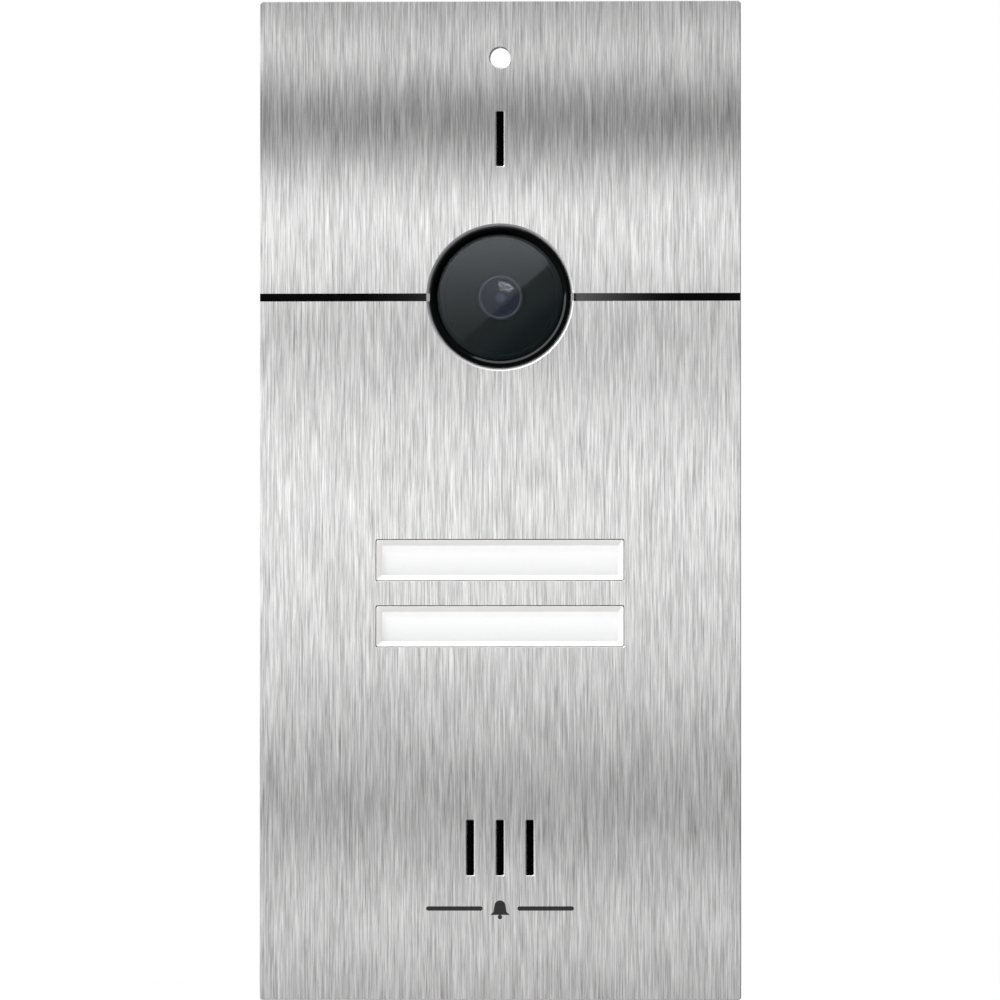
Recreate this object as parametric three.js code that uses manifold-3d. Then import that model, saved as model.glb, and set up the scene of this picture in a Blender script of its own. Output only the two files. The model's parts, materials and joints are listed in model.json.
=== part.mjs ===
// A flush-mounted video door intercom panel: a brushed steel front plate over a sealed
// housing with a camera, a microphone, two lit name-plate call buttons and a speaker.
//
// Millimetres. X points right as seen from the front, Z points up, the front faces -Y.
// The origin is the middle of the panel on the wall plane, the rear face of the wall gasket.

import * as THREE from "three";
import { mergeVertices } from "three/addons/utils/BufferGeometryUtils.js";
import Module from "manifold-3d";

const wasm = await Module();
wasm.setup();

// ---------------------------------------------------------------------------
// Driving dimensions
// ---------------------------------------------------------------------------

// Clearances
const seatGap = 0.1; // between two faces that rest on each other
const fitGap = 0.2; // around a piece that sits in a pocket
const slideGap = 0.3; // around a piece that slides or turns
const boltGap = 0.2; // around the shank of a screw

// Front plate
const plateWidth = 100;
const plateHeight = 207.5;
const plateThickness = 3;
const plateCornerRadius = 0.6;
const plateEdgeChamfer = 0.25;
const slotCornerRadius = 0.2;
const slotChamfer = 0.2;
const fixingHoleDiameter = 4.2;
const fixingHoleFromTop = 11.75;

// Black inlay across the plate, level with the camera
const stripeHeight = 1.6;
const stripeDepth = 1.2;
const stripeGap = 0.05;

// Wall gasket
const gasketThickness = 1.5;
const gasketInset = 1;
const gasketWidth = 5;
const gasketCornerRadius = 2;

// Housing: front chassis, seal and rear cover
const housingSideInset = 9;
const housingTopInset = 19.75;
const housingBottomInset = 11.75;
const housingCornerRadius = 4;
const housingWall = 2;
const sealThickness = 0.8;
const sealInset = 0.1;
const sealWidth = 1.8;
const coverDepth = 15.4;
const coverEdgeChamfer = 1;

// Housing screws, the posts that they run through and the plate's standoffs
const postInset = 5.2;
const postDiameter = 9.4;
const postOverRim = 0.3;
const postTipDiameter = 6;
const standoffDiameter = 6;
const standoffLength = 5.6;
const standoffFloor = 0.6;
const screwDiameter = 3;
const screwHeadDiameter = 5.6;
const screwHeadHeight = 2;
const screwTipGap = 0.3;
const screwDriveDiameter = 2.6;
const screwDriveDepth = 1.2;
const pillarFloor = 3;

// Main board
const boardDepth = 14; // from the plate's rear face to the board's front face
const boardThickness = 1.6;
const boardSideGap = 0.5;
const boardPostGap = 0.8;
const ledgeWidth = 2.5;
const ledgeHeight = 6;
const ledgePitch = 50;

// Camera
const cameraFromTop = 61.6;
const bezelRim = 1.45; // width of the black ring round the window
const bezelProud = 0.7;
const bezelEdgeChamfer = 0.3;
const bezelFlangeOverhang = 1.95;
const bezelFlangeThickness = 1;
const bezelHoleGap = 0.3;
const cameraBevelWidth = 0.5; // of the bevelled edge round the camera
const cameraBevelDepth = 0.25;
const windowDiameter = 26.2;
const windowThickness = 1.5;
const windowDome = 0.5;
const windowSetback = 0.3;
const windowSealWidth = 1.3;
const windowSealThickness = 0.4;
const bezelLedgeWidth = 1.6;
const cameraHoleGap = 1.45; // from the bezel's bore to the hole in the chassis
const baffleThickness = 0.8;
const baffleAperture = 10.3;
const barrelDiameter = 9.1;
const barrelHeadLength = 2.7;
const barrelThreadDiameter = 8;
const barrelThreadLength = 4.6;
const barrelBore = 5.4;
const frontLensDiameter = 7.8;
const frontLensThickness = 1.7;
const frontLensDome = 0.9;
const rearLensDiameter = 5.2;
const rearLensThickness = 1.6;
const rearLensDome = 0.4;
const cameraBoardSeat = 1; // how far the board reaches over the end of its well
const cameraBoardThickness = 1.2;
const cameraBoardDepth = 9.6; // from the plate's rear face to the board's front face
const holderSize = 14;
const holderBaseHeight = 2.4;
const holderNeckDiameter = 12;
const holderNeckLength = 5.2;
const sensorSize = 7;
const sensorThickness = 0.8;
const sensorGap = 1; // round the sensor, inside the lens holder
const cameraWellGap = 1.05; // from the hole in the chassis to the well's wall
const cameraWellWall = 2;
const cameraHookLength = 6;
const cameraHookThickness = 1.5;
const cameraHookLip = 1;
const ribbonWidth = 10;
const ribbonThickness = 0.3;
const ribbonOnBoard = 8; // how much of it lies on the camera board
const ribbonDrops = [5, 10, 16]; // its bends, below the camera board's lower edge
const ribbonSteps = 16;

// Microphone
const microphoneFromTop = 28.65;
const microphoneSlotWidth = 1.5;
const microphoneSlotHeight = 11.3;
const capsuleDiameter = 6;
const capsuleLength = 2.8;
const capsulePinDiameter = 0.6;
const capsulePinPitch = 2.5;
const bootWall = 1.4;
const bootLength = 5;
const bootPort = 1.6;
const collarWall = 1.2;
const microphoneCollarLength = 3.5;
const microphonePort = 4;

// Call buttons with name plates
const upperButtonFromTop = 116.25;
const buttonPitch = 13.75;
const buttonWindowWidth = 51.8; // opening in the plate
const buttonWindowHeight = 8.8;
const buttonGap = 0.2;
const buttonCornerRadius = 0.35;
const buttonWindowChamfer = 0.1;
const buttonWall = 0.6;
const buttonRim = 1.15; // sloping rim round the label, seen from the front
const buttonRimDepth = 0.7;
const buttonLip = 0.1;
const buttonFlangeOverhang = 1.3;
const buttonFlangeThickness = 0.8;
const buttonFlangeCorner = 1.35;
const buttonTravel = 0.5;
const labelCoverThickness = 1;
const labelThickness = 0.3;
const diffuserDepth = 3.7;
const wellGap = 0.3;
const wellDepth = 5.5; // from the plate's rear face to the well's floor
const wellWall = 1.05;
const wellFloor = 1.2;
const plungerRibDiameter = 4;
const lightHoleSize = 4.4;
const lightFromMiddle = 12;

// Return springs
const springFromMiddle = 20;
const springDiameter = 3.6; // at the middle of the wire
const springWire = 0.4;
const springTurns = 3;
const springStepsPerTurn = 10;
const springPegDiameter = 2.6;
const springPegLength = 1;

// Switches and lamps on the main board
const switchSize = 6;
const switchHeight = 3.4;
const switchPlungerDiameter = 3.5;
const switchPlungerReach = 3.5;
const switchPlungerInside = 0.9;
const lampWidth = 3.5;
const lampHeight = 2.8;
const lampThickness = 1.9;

// Speaker
const speakerFromBottom = 31.55;
const speakerSlotWidth = 1.5;
const speakerSlotHeight = 11.35;
const speakerSlotPitch = 6.2;
const speakerSlotCount = 3;
const speakerDiameter = 31.6;
const speakerRimThickness = 1;
const speakerRimWidth = 2.2;
const basketBackDiameter = 19;
const basketDepth = 4.6;
const basketWall = 0.8;
const magnetDiameter = 17;
const magnetDepth = 3.6;
const magnetBossDiameter = 8;
const magnetBossDepth = 0.8;
const coneDepth = 1.7;
const coneThickness = 0.3;
const coneRimWidth = 1;
const dustCapDiameter = 10;
const dustCapHeight = 1.275;
const speakerTailWidth = 1.6;
const speakerTailThickness = 0.4;
const speakerTailGap = 1.5; // from the magnet to the middle of a tail
const speakerGasketThickness = 1;
const speakerGasketWidth = 2;
const speakerCollarLength = 4;
const membraneDiameter = 24;
const membraneThickness = 0.35;
const membranePocket = 0.6;
const soundHoleDiameter = 20;

// Wiring bay in the rear cover, and what it gives access to
const bayWidth = 68;
const bayHeight = 32;
const bayBelowMiddle = 6;
const bayWall = 2;
const bayFloor = 1.6;
const bayFloorGap = 1.6; // from the main board to the bay's floor
const cutoutGap = 0.5;
const terminalPitch = 5.08;
const terminalCount = 4;
const terminalDepth = 10;
const terminalBlockHeight = 9;
const terminalBlockX = -20;
const terminalBlockZ = 12;
const terminalBore = 4.2;
const terminalBoreDepth = 6;
const terminalWireDepth = 5;
const terminalWireHole = 3;
const terminalScrewDiameter = 3.8;
const terminalScrewLength = 4.4;
const terminalScrewSink = 0.7;
const terminalScrewSlot = 0.8;
const terminalScrewSlotDepth = 1;
const trimmerSize = 7;
const trimmerHeight = 4.5;
const trimmerRotorDiameter = 4.8;
const trimmerRotorLength = 1.7;
const trimmerRotorDepth = 1.1;
const trimmerSlotWidth = 0.8;
const trimmerSlotLength = 3.6;
const trimmerSlotDepth = 0.8;
const trimmerPointerDepth = 0.4;
const trimmerZ = 12;
const speakerTrimmerX = 6;
const microphoneTrimmerX = 20;

// Other parts on the main board's rear face
const processorSize = 14;
const processorThickness = 1.4;
const processorX = -16;
const processorAboveBay = 24;
const capacitorDiameter = 10;
const capacitorHeight = 12;
const capacitorX = 18;
const capacitorAboveBay = 24;
const capacitorCrimp = 0.5;
const capacitorCrimpPlace = 2;

// Steel hook at the lower edge
const hookWidth = 28;
const hookThickness = 1.2;
const hookFromWall = 2;
const hookDepth = 10;
const hookLip = 5;
const hookProngWidth = 3;
const hookProngFromMiddle = 8;
const hookProngLength = 3.1;
const hookProngPlace = 4;

// ---------------------------------------------------------------------------
// Sizes that follow from the driving dimensions
// ---------------------------------------------------------------------------

const bezelDiameter = windowDiameter + 2 * bezelRim;
const bezelFlangeDiameter = bezelDiameter + 2 * bezelFlangeOverhang;
const bezelHoleDiameter = bezelDiameter + 2 * bezelHoleGap;
const bezelBore = windowDiameter - 2 * bezelLedgeWidth;
const cameraHoleDiameter = bezelBore + 2 * cameraHoleGap;
const cameraWellDiameter = cameraHoleDiameter + 2 * cameraWellGap;
const cameraBoardSize = cameraWellDiameter + 2 * cameraBoardSeat;

// ---------------------------------------------------------------------------
// Levels along the depth, from the front to the back
// ---------------------------------------------------------------------------

const plateBack = -gasketThickness - seatGap;
const plateFront = plateBack - plateThickness;
const chassisFront = plateBack + seatGap;
const chassisFloor = chassisFront + housingWall;
const boardFront = plateBack + boardDepth;
const boardBack = boardFront + boardThickness;
const chassisRim = boardBack - seatGap - postOverRim;
const postEnd = chassisRim + postOverRim;
const sealFront = chassisRim + seatGap;
const coverFront = sealFront + sealThickness + seatGap;
const coverBack = coverFront + coverDepth;
const pillarFront = postEnd + seatGap;
const pillarSeat = pillarFront + pillarFloor;
const cameraBoardFront = plateBack + cameraBoardDepth;
const cameraBoardBack = cameraBoardFront + cameraBoardThickness;
const wellFloorFront = plateBack + wellDepth;
const wellFloorBack = wellFloorFront + wellFloor;
const bayFloorFront = boardBack + bayFloorGap;
const bayFloorBack = bayFloorFront + bayFloor;

// ---------------------------------------------------------------------------
// Places across the panel
// ---------------------------------------------------------------------------

const plateTop = plateHeight / 2;
const plateBottom = -plateHeight / 2;
const housingHalfWidth = plateWidth / 2 - housingSideInset;
const housingTop = plateTop - housingTopInset;
const housingBottom = plateBottom + housingBottomInset;
const housingHeight = housingTop - housingBottom;
const housingMiddle = (housingTop + housingBottom) / 2;
const postX = housingHalfWidth - postInset;
const upperPostZ = housingTop - postInset;
const lowerPostZ = housingBottom + postInset;
const postPlaces = [
  [-postX, upperPostZ],
  [postX, upperPostZ],
  [-postX, lowerPostZ],
  [postX, lowerPostZ],
];
const boardTop = housingTop - housingWall - boardSideGap;
const boardBottom = housingBottom + housingWall + boardSideGap;
const boardHalfWidth = housingHalfWidth - housingWall - boardSideGap;
const fixingHoleZ = plateTop - fixingHoleFromTop;
const cameraZ = plateTop - cameraFromTop;
const microphoneZ = plateTop - microphoneFromTop;
const upperButtonZ = plateTop - upperButtonFromTop;
const lowerButtonZ = upperButtonZ - buttonPitch;
const speakerZ = plateBottom + speakerFromBottom;
const bayBottom = -bayBelowMiddle;
const bayMiddle = bayBottom + bayHeight / 2;
const bayTop = bayBottom + bayHeight;

// ---------------------------------------------------------------------------
// Finishes
// ---------------------------------------------------------------------------

const brushedSteel = { color: 0xb9b9b8, roughness: 0.38, metalness: 1 };
const plainSteel = { color: 0xa6a8aa, roughness: 0.45, metalness: 1 };
const zincSteel = { color: 0xc3c5c6, roughness: 0.35, metalness: 1 };
const glossBlack = { color: 0x0b0b0c, roughness: 0.12, metalness: 0 };
const satinBlack = { color: 0x121314, roughness: 0.5, metalness: 0 };
const housingBlack = { color: 0x1b1c1e, roughness: 0.62, metalness: 0 };
const blackRubber = { color: 0x161616, roughness: 0.85, metalness: 0 };
const smokedGlass = { color: 0x1a2426, roughness: 0.06, metalness: 0 };
const lensGlass = { color: 0x3a3a5c, roughness: 0.04, metalness: 0 };
const clearPlastic = { color: 0xf4f5f5, roughness: 0.1, metalness: 0 };
const buttonPlastic = { color: 0xe6e2dd, roughness: 0.4, metalness: 0 };
const whiteLabel = { color: 0xf7f7f5, roughness: 0.7, metalness: 0 };
const whiteDiffuser = { color: 0xf0f0ec, roughness: 0.55, metalness: 0 };
const greenBoard = { color: 0x1d5a38, roughness: 0.45, metalness: 0 };
const greenTerminal = { color: 0x2e8b57, roughness: 0.5, metalness: 0 };
const blueTrimmer = { color: 0x2456a6, roughness: 0.45, metalness: 0 };
const whiteRotor = { color: 0xe9e6dc, roughness: 0.5, metalness: 0 };
const chipBlack = { color: 0x202124, roughness: 0.7, metalness: 0 };
const capacitorSleeve = { color: 0x23304a, roughness: 0.35, metalness: 0 };
const mylarCone = { color: 0x2a2522, roughness: 0.4, metalness: 0 };
const magnetSteel = { color: 0x8c8f92, roughness: 0.4, metalness: 1 };
const amberRibbon = { color: 0xb9772c, roughness: 0.35, metalness: 0 };
const lampYellow = { color: 0xf1e6a8, roughness: 0.3, metalness: 0 };

// ---------------------------------------------------------------------------
// Outlines, in the plane of the plate: x across and z up
// ---------------------------------------------------------------------------

function roundedOutline(width, height, radius, x = 0, z = 0) {
  const outline = new THREE.Shape();
  const right = x + width / 2 - radius;
  const left = x - width / 2 + radius;
  const top = z + height / 2 - radius;
  const bottom = z - height / 2 + radius;
  outline.absarc(right, bottom, radius, -Math.PI / 2, 0, false);
  outline.absarc(right, top, radius, 0, Math.PI / 2, false);
  outline.absarc(left, top, radius, Math.PI / 2, Math.PI, false);
  outline.absarc(left, bottom, radius, Math.PI, 1.5 * Math.PI, false);
  outline.closePath();
  return outline;
}

function squareOutline(width, height, x = 0, z = 0) {
  const outline = new THREE.Shape();
  outline.moveTo(x - width / 2, z - height / 2);
  outline.lineTo(x + width / 2, z - height / 2);
  outline.lineTo(x + width / 2, z + height / 2);
  outline.lineTo(x - width / 2, z + height / 2);
  outline.closePath();
  return outline;
}

// ---------------------------------------------------------------------------
// Solids
// ---------------------------------------------------------------------------

const weldDistance = 1e-4;
const cutOver = 1; // how far a cutting solid reaches past the face that it opens
const weldDepth = 0.5; // how far a feature reaches into the body that it is part of
const smallestCorner = 0.5; // of an outline that is drawn inside another

// Steps round a quarter of an outline's corner, and round a whole circle
const cornerSteps = 2;
const wireSteps = 3;
const tinyRound = 8;
const smallRound = 14;
const mediumRound = 20;
const largeRound = 36;
const domeSteps = 4;

function solidFrom(geometry) {
  geometry.deleteAttribute("normal");
  geometry.deleteAttribute("uv");
  const merged = mergeVertices(geometry, weldDistance);
  const corners = merged.index.array;
  const kept = [];
  for (let i = 0; i < corners.length; i += 3) {
    const [a, b, c] = [corners[i], corners[i + 1], corners[i + 2]];
    if (a !== b && b !== c && c !== a) kept.push(a, b, c);
  }
  return new wasm.Manifold(
    new wasm.Mesh({
      numProp: 3,
      vertProperties: merged.attributes.position.array,
      triVerts: new Uint32Array(kept),
    }),
  );
}

// An outline in the plane of the plate, made solid from yFront to yBack.
function slab(outline, yFront, yBack, steps = cornerSteps) {
  const geometry = new THREE.ExtrudeGeometry(outline, {
    depth: yBack - yFront,
    bevelEnabled: false,
    curveSegments: steps,
  });
  geometry.rotateX(Math.PI / 2);
  geometry.translate(0, yBack, 0);
  return solidFrom(geometry);
}

// The same, with its front and rear edges chamfered.
function chamferedSlab(outline, yFront, yBack, chamfer, steps = cornerSteps) {
  const geometry = new THREE.ExtrudeGeometry(outline, {
    depth: yBack - yFront - 2 * chamfer,
    bevelEnabled: true,
    bevelThickness: chamfer,
    bevelSize: chamfer,
    bevelOffset: -chamfer,
    bevelSegments: 1,
    curveSegments: steps,
  });
  geometry.rotateX(Math.PI / 2);
  geometry.translate(0, yBack - chamfer, 0);
  return solidFrom(geometry);
}

// A cutter that chamfers the mouth of an opening in a face that looks to the front.
function mouthCutter(outline, yMouth, chamfer, steps = cornerSteps) {
  const geometry = new THREE.ExtrudeGeometry(outline, {
    depth: cutOver,
    bevelEnabled: true,
    bevelThickness: chamfer,
    bevelSize: chamfer,
    bevelSegments: 1,
    curveSegments: steps,
  });
  geometry.rotateX(Math.PI / 2);
  geometry.translate(0, yMouth, 0);
  return solidFrom(geometry);
}

// A profile of [radius, y] points turned about an axis along the depth. The points run
// round the section so that the metal is on their left, seen with y to the right.
function turned(profile, segments, x = 0, z = 0) {
  const points = profile.map(([radius, y]) => new THREE.Vector2(radius, y));
  const geometry = new THREE.LatheGeometry(points, segments);
  geometry.translate(x, 0, z);
  return solidFrom(geometry);
}

function disc(diameter, yFront, yBack, segments, x = 0, z = 0) {
  const radius = diameter / 2;
  const profile = [
    [0, yFront],
    [radius, yFront],
    [radius, yBack],
    [0, yBack],
  ];
  return turned(profile, segments, x, z);
}

function ring(outerDiameter, innerDiameter, yFront, yBack, segments, x = 0, z = 0) {
  const outer = outerDiameter / 2;
  const inner = innerDiameter / 2;
  const profile = [
    [inner, yFront],
    [outer, yFront],
    [outer, yBack],
    [inner, yBack],
    [inner, yFront],
  ];
  return turned(profile, segments, x, z);
}

function block(xMin, xMax, yMin, yMax, zMin, zMax) {
  const geometry = new THREE.BoxGeometry(xMax - xMin, yMax - yMin, zMax - zMin);
  geometry.translate((xMin + xMax) / 2, (yMin + yMax) / 2, (zMin + zMax) / 2);
  return solidFrom(geometry);
}

function joined(solids) {
  return solids.reduce((whole, next) => whole.add(next));
}

function cut(solid, cutters) {
  return cutters.reduce((left, cutter) => left.subtract(cutter), solid);
}

// ---------------------------------------------------------------------------
// The scene graph: one named mesh for each piece
// ---------------------------------------------------------------------------

const panel = new THREE.Group();

function groupAt(x, z) {
  const group = new THREE.Group();
  group.position.set(x, 0, z);
  panel.add(group);
  return group;
}

function addPiece(group, name, solid, look) {
  const { vertProperties, triVerts } = solid.getMesh();
  const geometry = new THREE.BufferGeometry();
  geometry.setAttribute("position", new THREE.BufferAttribute(vertProperties, 3));
  geometry.setIndex(new THREE.BufferAttribute(triVerts, 1));
  geometry.computeVertexNormals();
  const mesh = new THREE.Mesh(geometry, new THREE.MeshStandardMaterial(look));
  mesh.name = name;
  group.add(mesh);
  return mesh;
}

// ---------------------------------------------------------------------------
// Front plate, inlay and wall gasket
// ---------------------------------------------------------------------------

// The camera's opening and its bevel, as one turned cutter.
function cameraOpening() {
  const bore = bezelHoleDiameter / 2;
  const mouth = bore + cameraBevelWidth;
  const profile = [
    [0, plateFront - cutOver],
    [mouth, plateFront - cutOver],
    [mouth, plateFront],
    [bore, plateFront + cameraBevelDepth],
    [bore, plateBack + cutOver],
    [0, plateBack + cutOver],
  ];
  return turned(profile, largeRound, 0, cameraZ);
}

function slotOpening(width, height, x, z) {
  const outline = roundedOutline(width, height, slotCornerRadius, x, z);
  const bore = slab(outline, plateFront - cutOver, plateBack + cutOver);
  return bore.add(mouthCutter(outline, plateFront, slotChamfer));
}

function buttonOpening(z) {
  const outline = roundedOutline(
    buttonWindowWidth,
    buttonWindowHeight,
    buttonCornerRadius,
    0,
    z,
  );
  const bore = slab(outline, plateFront - cutOver, plateBack + cutOver);
  return bore.add(mouthCutter(outline, plateFront, buttonWindowChamfer));
}

function speakerSlotPlaces() {
  const places = [];
  for (let i = 0; i < speakerSlotCount; i += 1) {
    places.push((i - (speakerSlotCount - 1) / 2) * speakerSlotPitch);
  }
  return places;
}

function standoff(x, z) {
  const outer = standoffDiameter / 2;
  const bore = (screwDiameter + boltGap) / 2;
  const root = plateBack - standoffFloor; // welded a little way into the plate
  const end = plateBack + standoffLength;
  const profile = [
    [0, root],
    [outer, root],
    [outer, end],
    [bore, end],
    [bore, plateBack + standoffFloor],
    [0, plateBack + standoffFloor],
  ];
  return turned(profile, smallRound, x, z);
}

function frontPlate() {
  const outline = roundedOutline(plateWidth, plateHeight, plateCornerRadius);
  const sheet = chamferedSlab(outline, plateFront, plateBack, plateEdgeChamfer);
  const groove = block(
    -plateWidth / 2 - cutOver,
    plateWidth / 2 + cutOver,
    plateFront - cutOver,
    plateFront + stripeDepth,
    cameraZ - stripeHeight / 2,
    cameraZ + stripeHeight / 2,
  );
  const fixingHole = disc(
    fixingHoleDiameter,
    plateFront - cutOver,
    plateBack + cutOver,
    mediumRound,
    0,
    fixingHoleZ,
  );
  const speakerSlots = speakerSlotPlaces().map((x) =>
    slotOpening(speakerSlotWidth, speakerSlotHeight, x, speakerZ),
  );
  const openings = [
    groove,
    fixingHole,
    cameraOpening(),
    slotOpening(microphoneSlotWidth, microphoneSlotHeight, 0, microphoneZ),
    buttonOpening(upperButtonZ),
    buttonOpening(lowerButtonZ),
    ...speakerSlots,
  ];
  const standoffs = postPlaces.map(([x, z]) => standoff(x, z));
  return joined([cut(sheet, openings), ...standoffs]);
}

// The inlay runs from the plate's edge to the camera's bevelled opening.
function stripe(side) {
  const near = bezelDiameter / 2;
  const far = plateWidth / 2 - stripeGap;
  const half = stripeHeight / 2 - stripeGap;
  const bar = block(
    side > 0 ? near : -far,
    side > 0 ? far : -near,
    plateFront,
    plateFront + stripeDepth - seatGap,
    cameraZ - half,
    cameraZ + half,
  );
  const bevel = bezelHoleDiameter + 2 * (cameraBevelWidth + stripeGap);
  const end = disc(bevel, plateFront - cutOver, plateBack, largeRound, 0, cameraZ);
  return cut(bar, [end]);
}

function wallGasket() {
  const width = plateWidth - 2 * gasketInset;
  const height = plateHeight - 2 * gasketInset;
  const outline = roundedOutline(width, height, gasketCornerRadius);
  const inner = roundedOutline(
    width - 2 * gasketWidth,
    height - 2 * gasketWidth,
    gasketCornerRadius,
  );
  outline.holes.push(inner);
  return slab(outline, -gasketThickness, 0);
}

addPiece(panel, "front_plate", frontPlate(), brushedSteel);
addPiece(panel, "stripe_inlay_left", stripe(-1), glossBlack);
addPiece(panel, "stripe_inlay_right", stripe(1), glossBlack);
addPiece(panel, "wall_gasket", wallGasket(), blackRubber);

// ---------------------------------------------------------------------------
// Front chassis: the moulded tray behind the plate that carries everything
// ---------------------------------------------------------------------------

const flangeWidth = buttonWindowWidth + 2 * buttonFlangeOverhang;
const flangeHeight = buttonWindowHeight + 2 * buttonFlangeOverhang;
const wellWidth = flangeWidth + 2 * wellGap;
const wellHeight = flangeHeight + 2 * wellGap;
const bootDiameter = capsuleDiameter + 2 * fitGap + 2 * bootWall;
const bootFront = chassisFloor + seatGap;
const speakerGasketFront = chassisFloor + seatGap;
const speakerRimFront = speakerGasketFront + speakerGasketThickness + seatGap;
const ledgeRoot = housingHalfWidth - housingWall / 2;
const ledgeBack = coverBack - housingWall / 2;
const insideSeal = housingHalfWidth - sealInset - sealWidth - seatGap;

function housingOutline(inset) {
  const width = 2 * (housingHalfWidth - inset);
  const height = housingHeight - 2 * inset;
  const radius = Math.max(housingCornerRadius - inset, smallestCorner);
  return roundedOutline(width, height, radius, 0, housingMiddle);
}

function collar(diameter, wall, length, x, z) {
  const bore = diameter + 2 * fitGap;
  const outer = bore + 2 * wall;
  const yEnd = chassisFloor + length;
  return ring(outer, bore, chassisFloor - weldDepth, yEnd, mediumRound, x, z);
}

// Ledges along both sides clamp the main board between the chassis and the cover.
function boardLedges(yFront, yBack, outer) {
  const ledges = [];
  const inner = boardHalfWidth - ledgeWidth + boardSideGap;
  const middle = (boardTop + boardBottom) / 2;
  for (const side of [-1, 1]) {
    for (const step of [-1, 0, 1]) {
      const x = [side * inner, side * outer];
      const z = middle + step * ledgePitch;
      ledges.push(
        block(
          Math.min(...x),
          Math.max(...x),
          yFront,
          yBack,
          z - ledgeHeight / 2,
          z + ledgeHeight / 2,
        ),
      );
    }
  }
  return ledges;
}

// Two hooks hold the camera board on the end of the camera well.
function cameraHooks() {
  const inner = cameraBoardSize / 2 + fitGap;
  const outer = inner + cameraHookThickness;
  const lipFront = cameraBoardBack + seatGap;
  const lipBack = lipFront + cameraHookLip;
  const half = cameraHookLength / 2;
  const low = cameraZ - half;
  const high = cameraZ + half;
  return [-1, 1].flatMap((side) => {
    const span = (a, b) => (side > 0 ? [a, b] : [-b, -a]);
    return [
      block(...span(inner, outer), chassisFloor - weldDepth, lipBack, low, high),
      block(...span(inner - cameraHookLip, outer), lipFront, lipBack, low, high),
    ];
  });
}

function buttonWell(z) {
  const outer = squareOutline(wellWidth + 2 * wellWall, wellHeight + 2 * wellWall, 0, z);
  return slab(outer, chassisFront, wellFloorBack);
}

function buttonWellCutters(z) {
  const hollow = squareOutline(wellWidth, wellHeight, 0, z);
  const lightHole = squareOutline(lightHoleSize, lightHoleSize, lightFromMiddle, z);
  const ribHole = plungerRibDiameter + 2 * slideGap;
  return [
    slab(hollow, chassisFront - cutOver, wellFloorFront),
    slab(lightHole, wellFloorFront - cutOver, wellFloorBack + cutOver),
    disc(ribHole, wellFloorFront - cutOver, wellFloorBack + cutOver, smallRound, 0, z),
  ];
}

function springPegs(z) {
  return [-springFromMiddle, springFromMiddle].map((x) =>
    disc(
      springPegDiameter,
      wellFloorFront - springPegLength,
      wellFloorFront + weldDepth,
      smallRound,
      x,
      z,
    ),
  );
}

function chassisPost(x, z) {
  const post = disc(postDiameter, chassisFloor - weldDepth, chassisRim, smallRound, x, z);
  return post.add(disc(postTipDiameter, chassisRim - weldDepth, postEnd, smallRound, x, z));
}

// The plate's standoff enters from the front, the screw from the rear.
function chassisPostBore(x, z) {
  const wide = (standoffDiameter + 2 * slideGap) / 2;
  const narrow = (screwDiameter + 2 * boltGap) / 2;
  const step = plateBack + standoffLength + slideGap;
  const profile = [
    [0, chassisFront - cutOver],
    [wide, chassisFront - cutOver],
    [wide, step],
    [narrow, step],
    [narrow, postEnd + cutOver],
    [0, postEnd + cutOver],
  ];
  return turned(profile, smallRound, x, z);
}

function hookSlots() {
  const yMiddle = hookFromWall + hookProngPlace;
  return [-hookProngFromMiddle, hookProngFromMiddle].map((x) =>
    block(
      x - hookProngWidth / 2 - slideGap,
      x + hookProngWidth / 2 + slideGap,
      yMiddle - hookThickness / 2 - slideGap,
      yMiddle + hookThickness / 2 + slideGap,
      housingBottom - cutOver,
      housingBottom + housingWall + cutOver,
    ),
  );
}

function frontChassis() {
  const tray = slab(housingOutline(0), chassisFront, chassisRim);
  const hollow = slab(housingOutline(housingWall), chassisFloor, chassisRim + cutOver);
  const cameraWellEnd = cameraBoardFront - seatGap;
  const cameraWell = ring(
    cameraWellDiameter + 2 * cameraWellWall,
    cameraWellDiameter,
    chassisFloor - weldDepth,
    cameraWellEnd,
    largeRound,
    0,
    cameraZ,
  );
  const body = joined([
    cut(tray, [hollow]),
    ...boardLedges(chassisFloor - weldDepth, boardFront - seatGap, ledgeRoot),
    ...postPlaces.map(([x, z]) => chassisPost(x, z)),
    cameraWell,
    ...cameraHooks(),
    buttonWell(upperButtonZ),
    buttonWell(lowerButtonZ),
    collar(speakerDiameter, collarWall, speakerCollarLength, 0, speakerZ),
    collar(bootDiameter, collarWall, microphoneCollarLength, 0, microphoneZ),
  ]);
  const flangePocket = disc(
    bezelFlangeDiameter + 2 * fitGap,
    chassisFront - cutOver,
    chassisFront + bezelFlangeThickness + fitGap,
    largeRound,
    0,
    cameraZ,
  );
  const cameraHole = disc(
    cameraHoleDiameter,
    chassisFront,
    chassisFloor + cutOver,
    largeRound,
    0,
    cameraZ,
  );
  const soundHole = disc(
    soundHoleDiameter,
    chassisFront - cutOver,
    chassisFloor + cutOver,
    mediumRound,
    0,
    speakerZ,
  );
  const membraneSeat = disc(
    membraneDiameter + 2 * fitGap,
    chassisFront - cutOver,
    chassisFront + membranePocket,
    mediumRound,
    0,
    speakerZ,
  );
  const microphoneHole = disc(
    microphonePort,
    chassisFront - cutOver,
    chassisFloor + cutOver,
    smallRound,
    0,
    microphoneZ,
  );
  const opened = cut(body, [
    flangePocket,
    cameraHole,
    soundHole,
    membraneSeat,
    microphoneHole,
    ...buttonWellCutters(upperButtonZ),
    ...buttonWellCutters(lowerButtonZ),
    ...postPlaces.map(([x, z]) => chassisPostBore(x, z)),
    ...hookSlots(),
  ]);
  return joined([opened, ...springPegs(upperButtonZ), ...springPegs(lowerButtonZ)]);
}

addPiece(panel, "front_chassis", frontChassis(), housingBlack);

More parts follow.
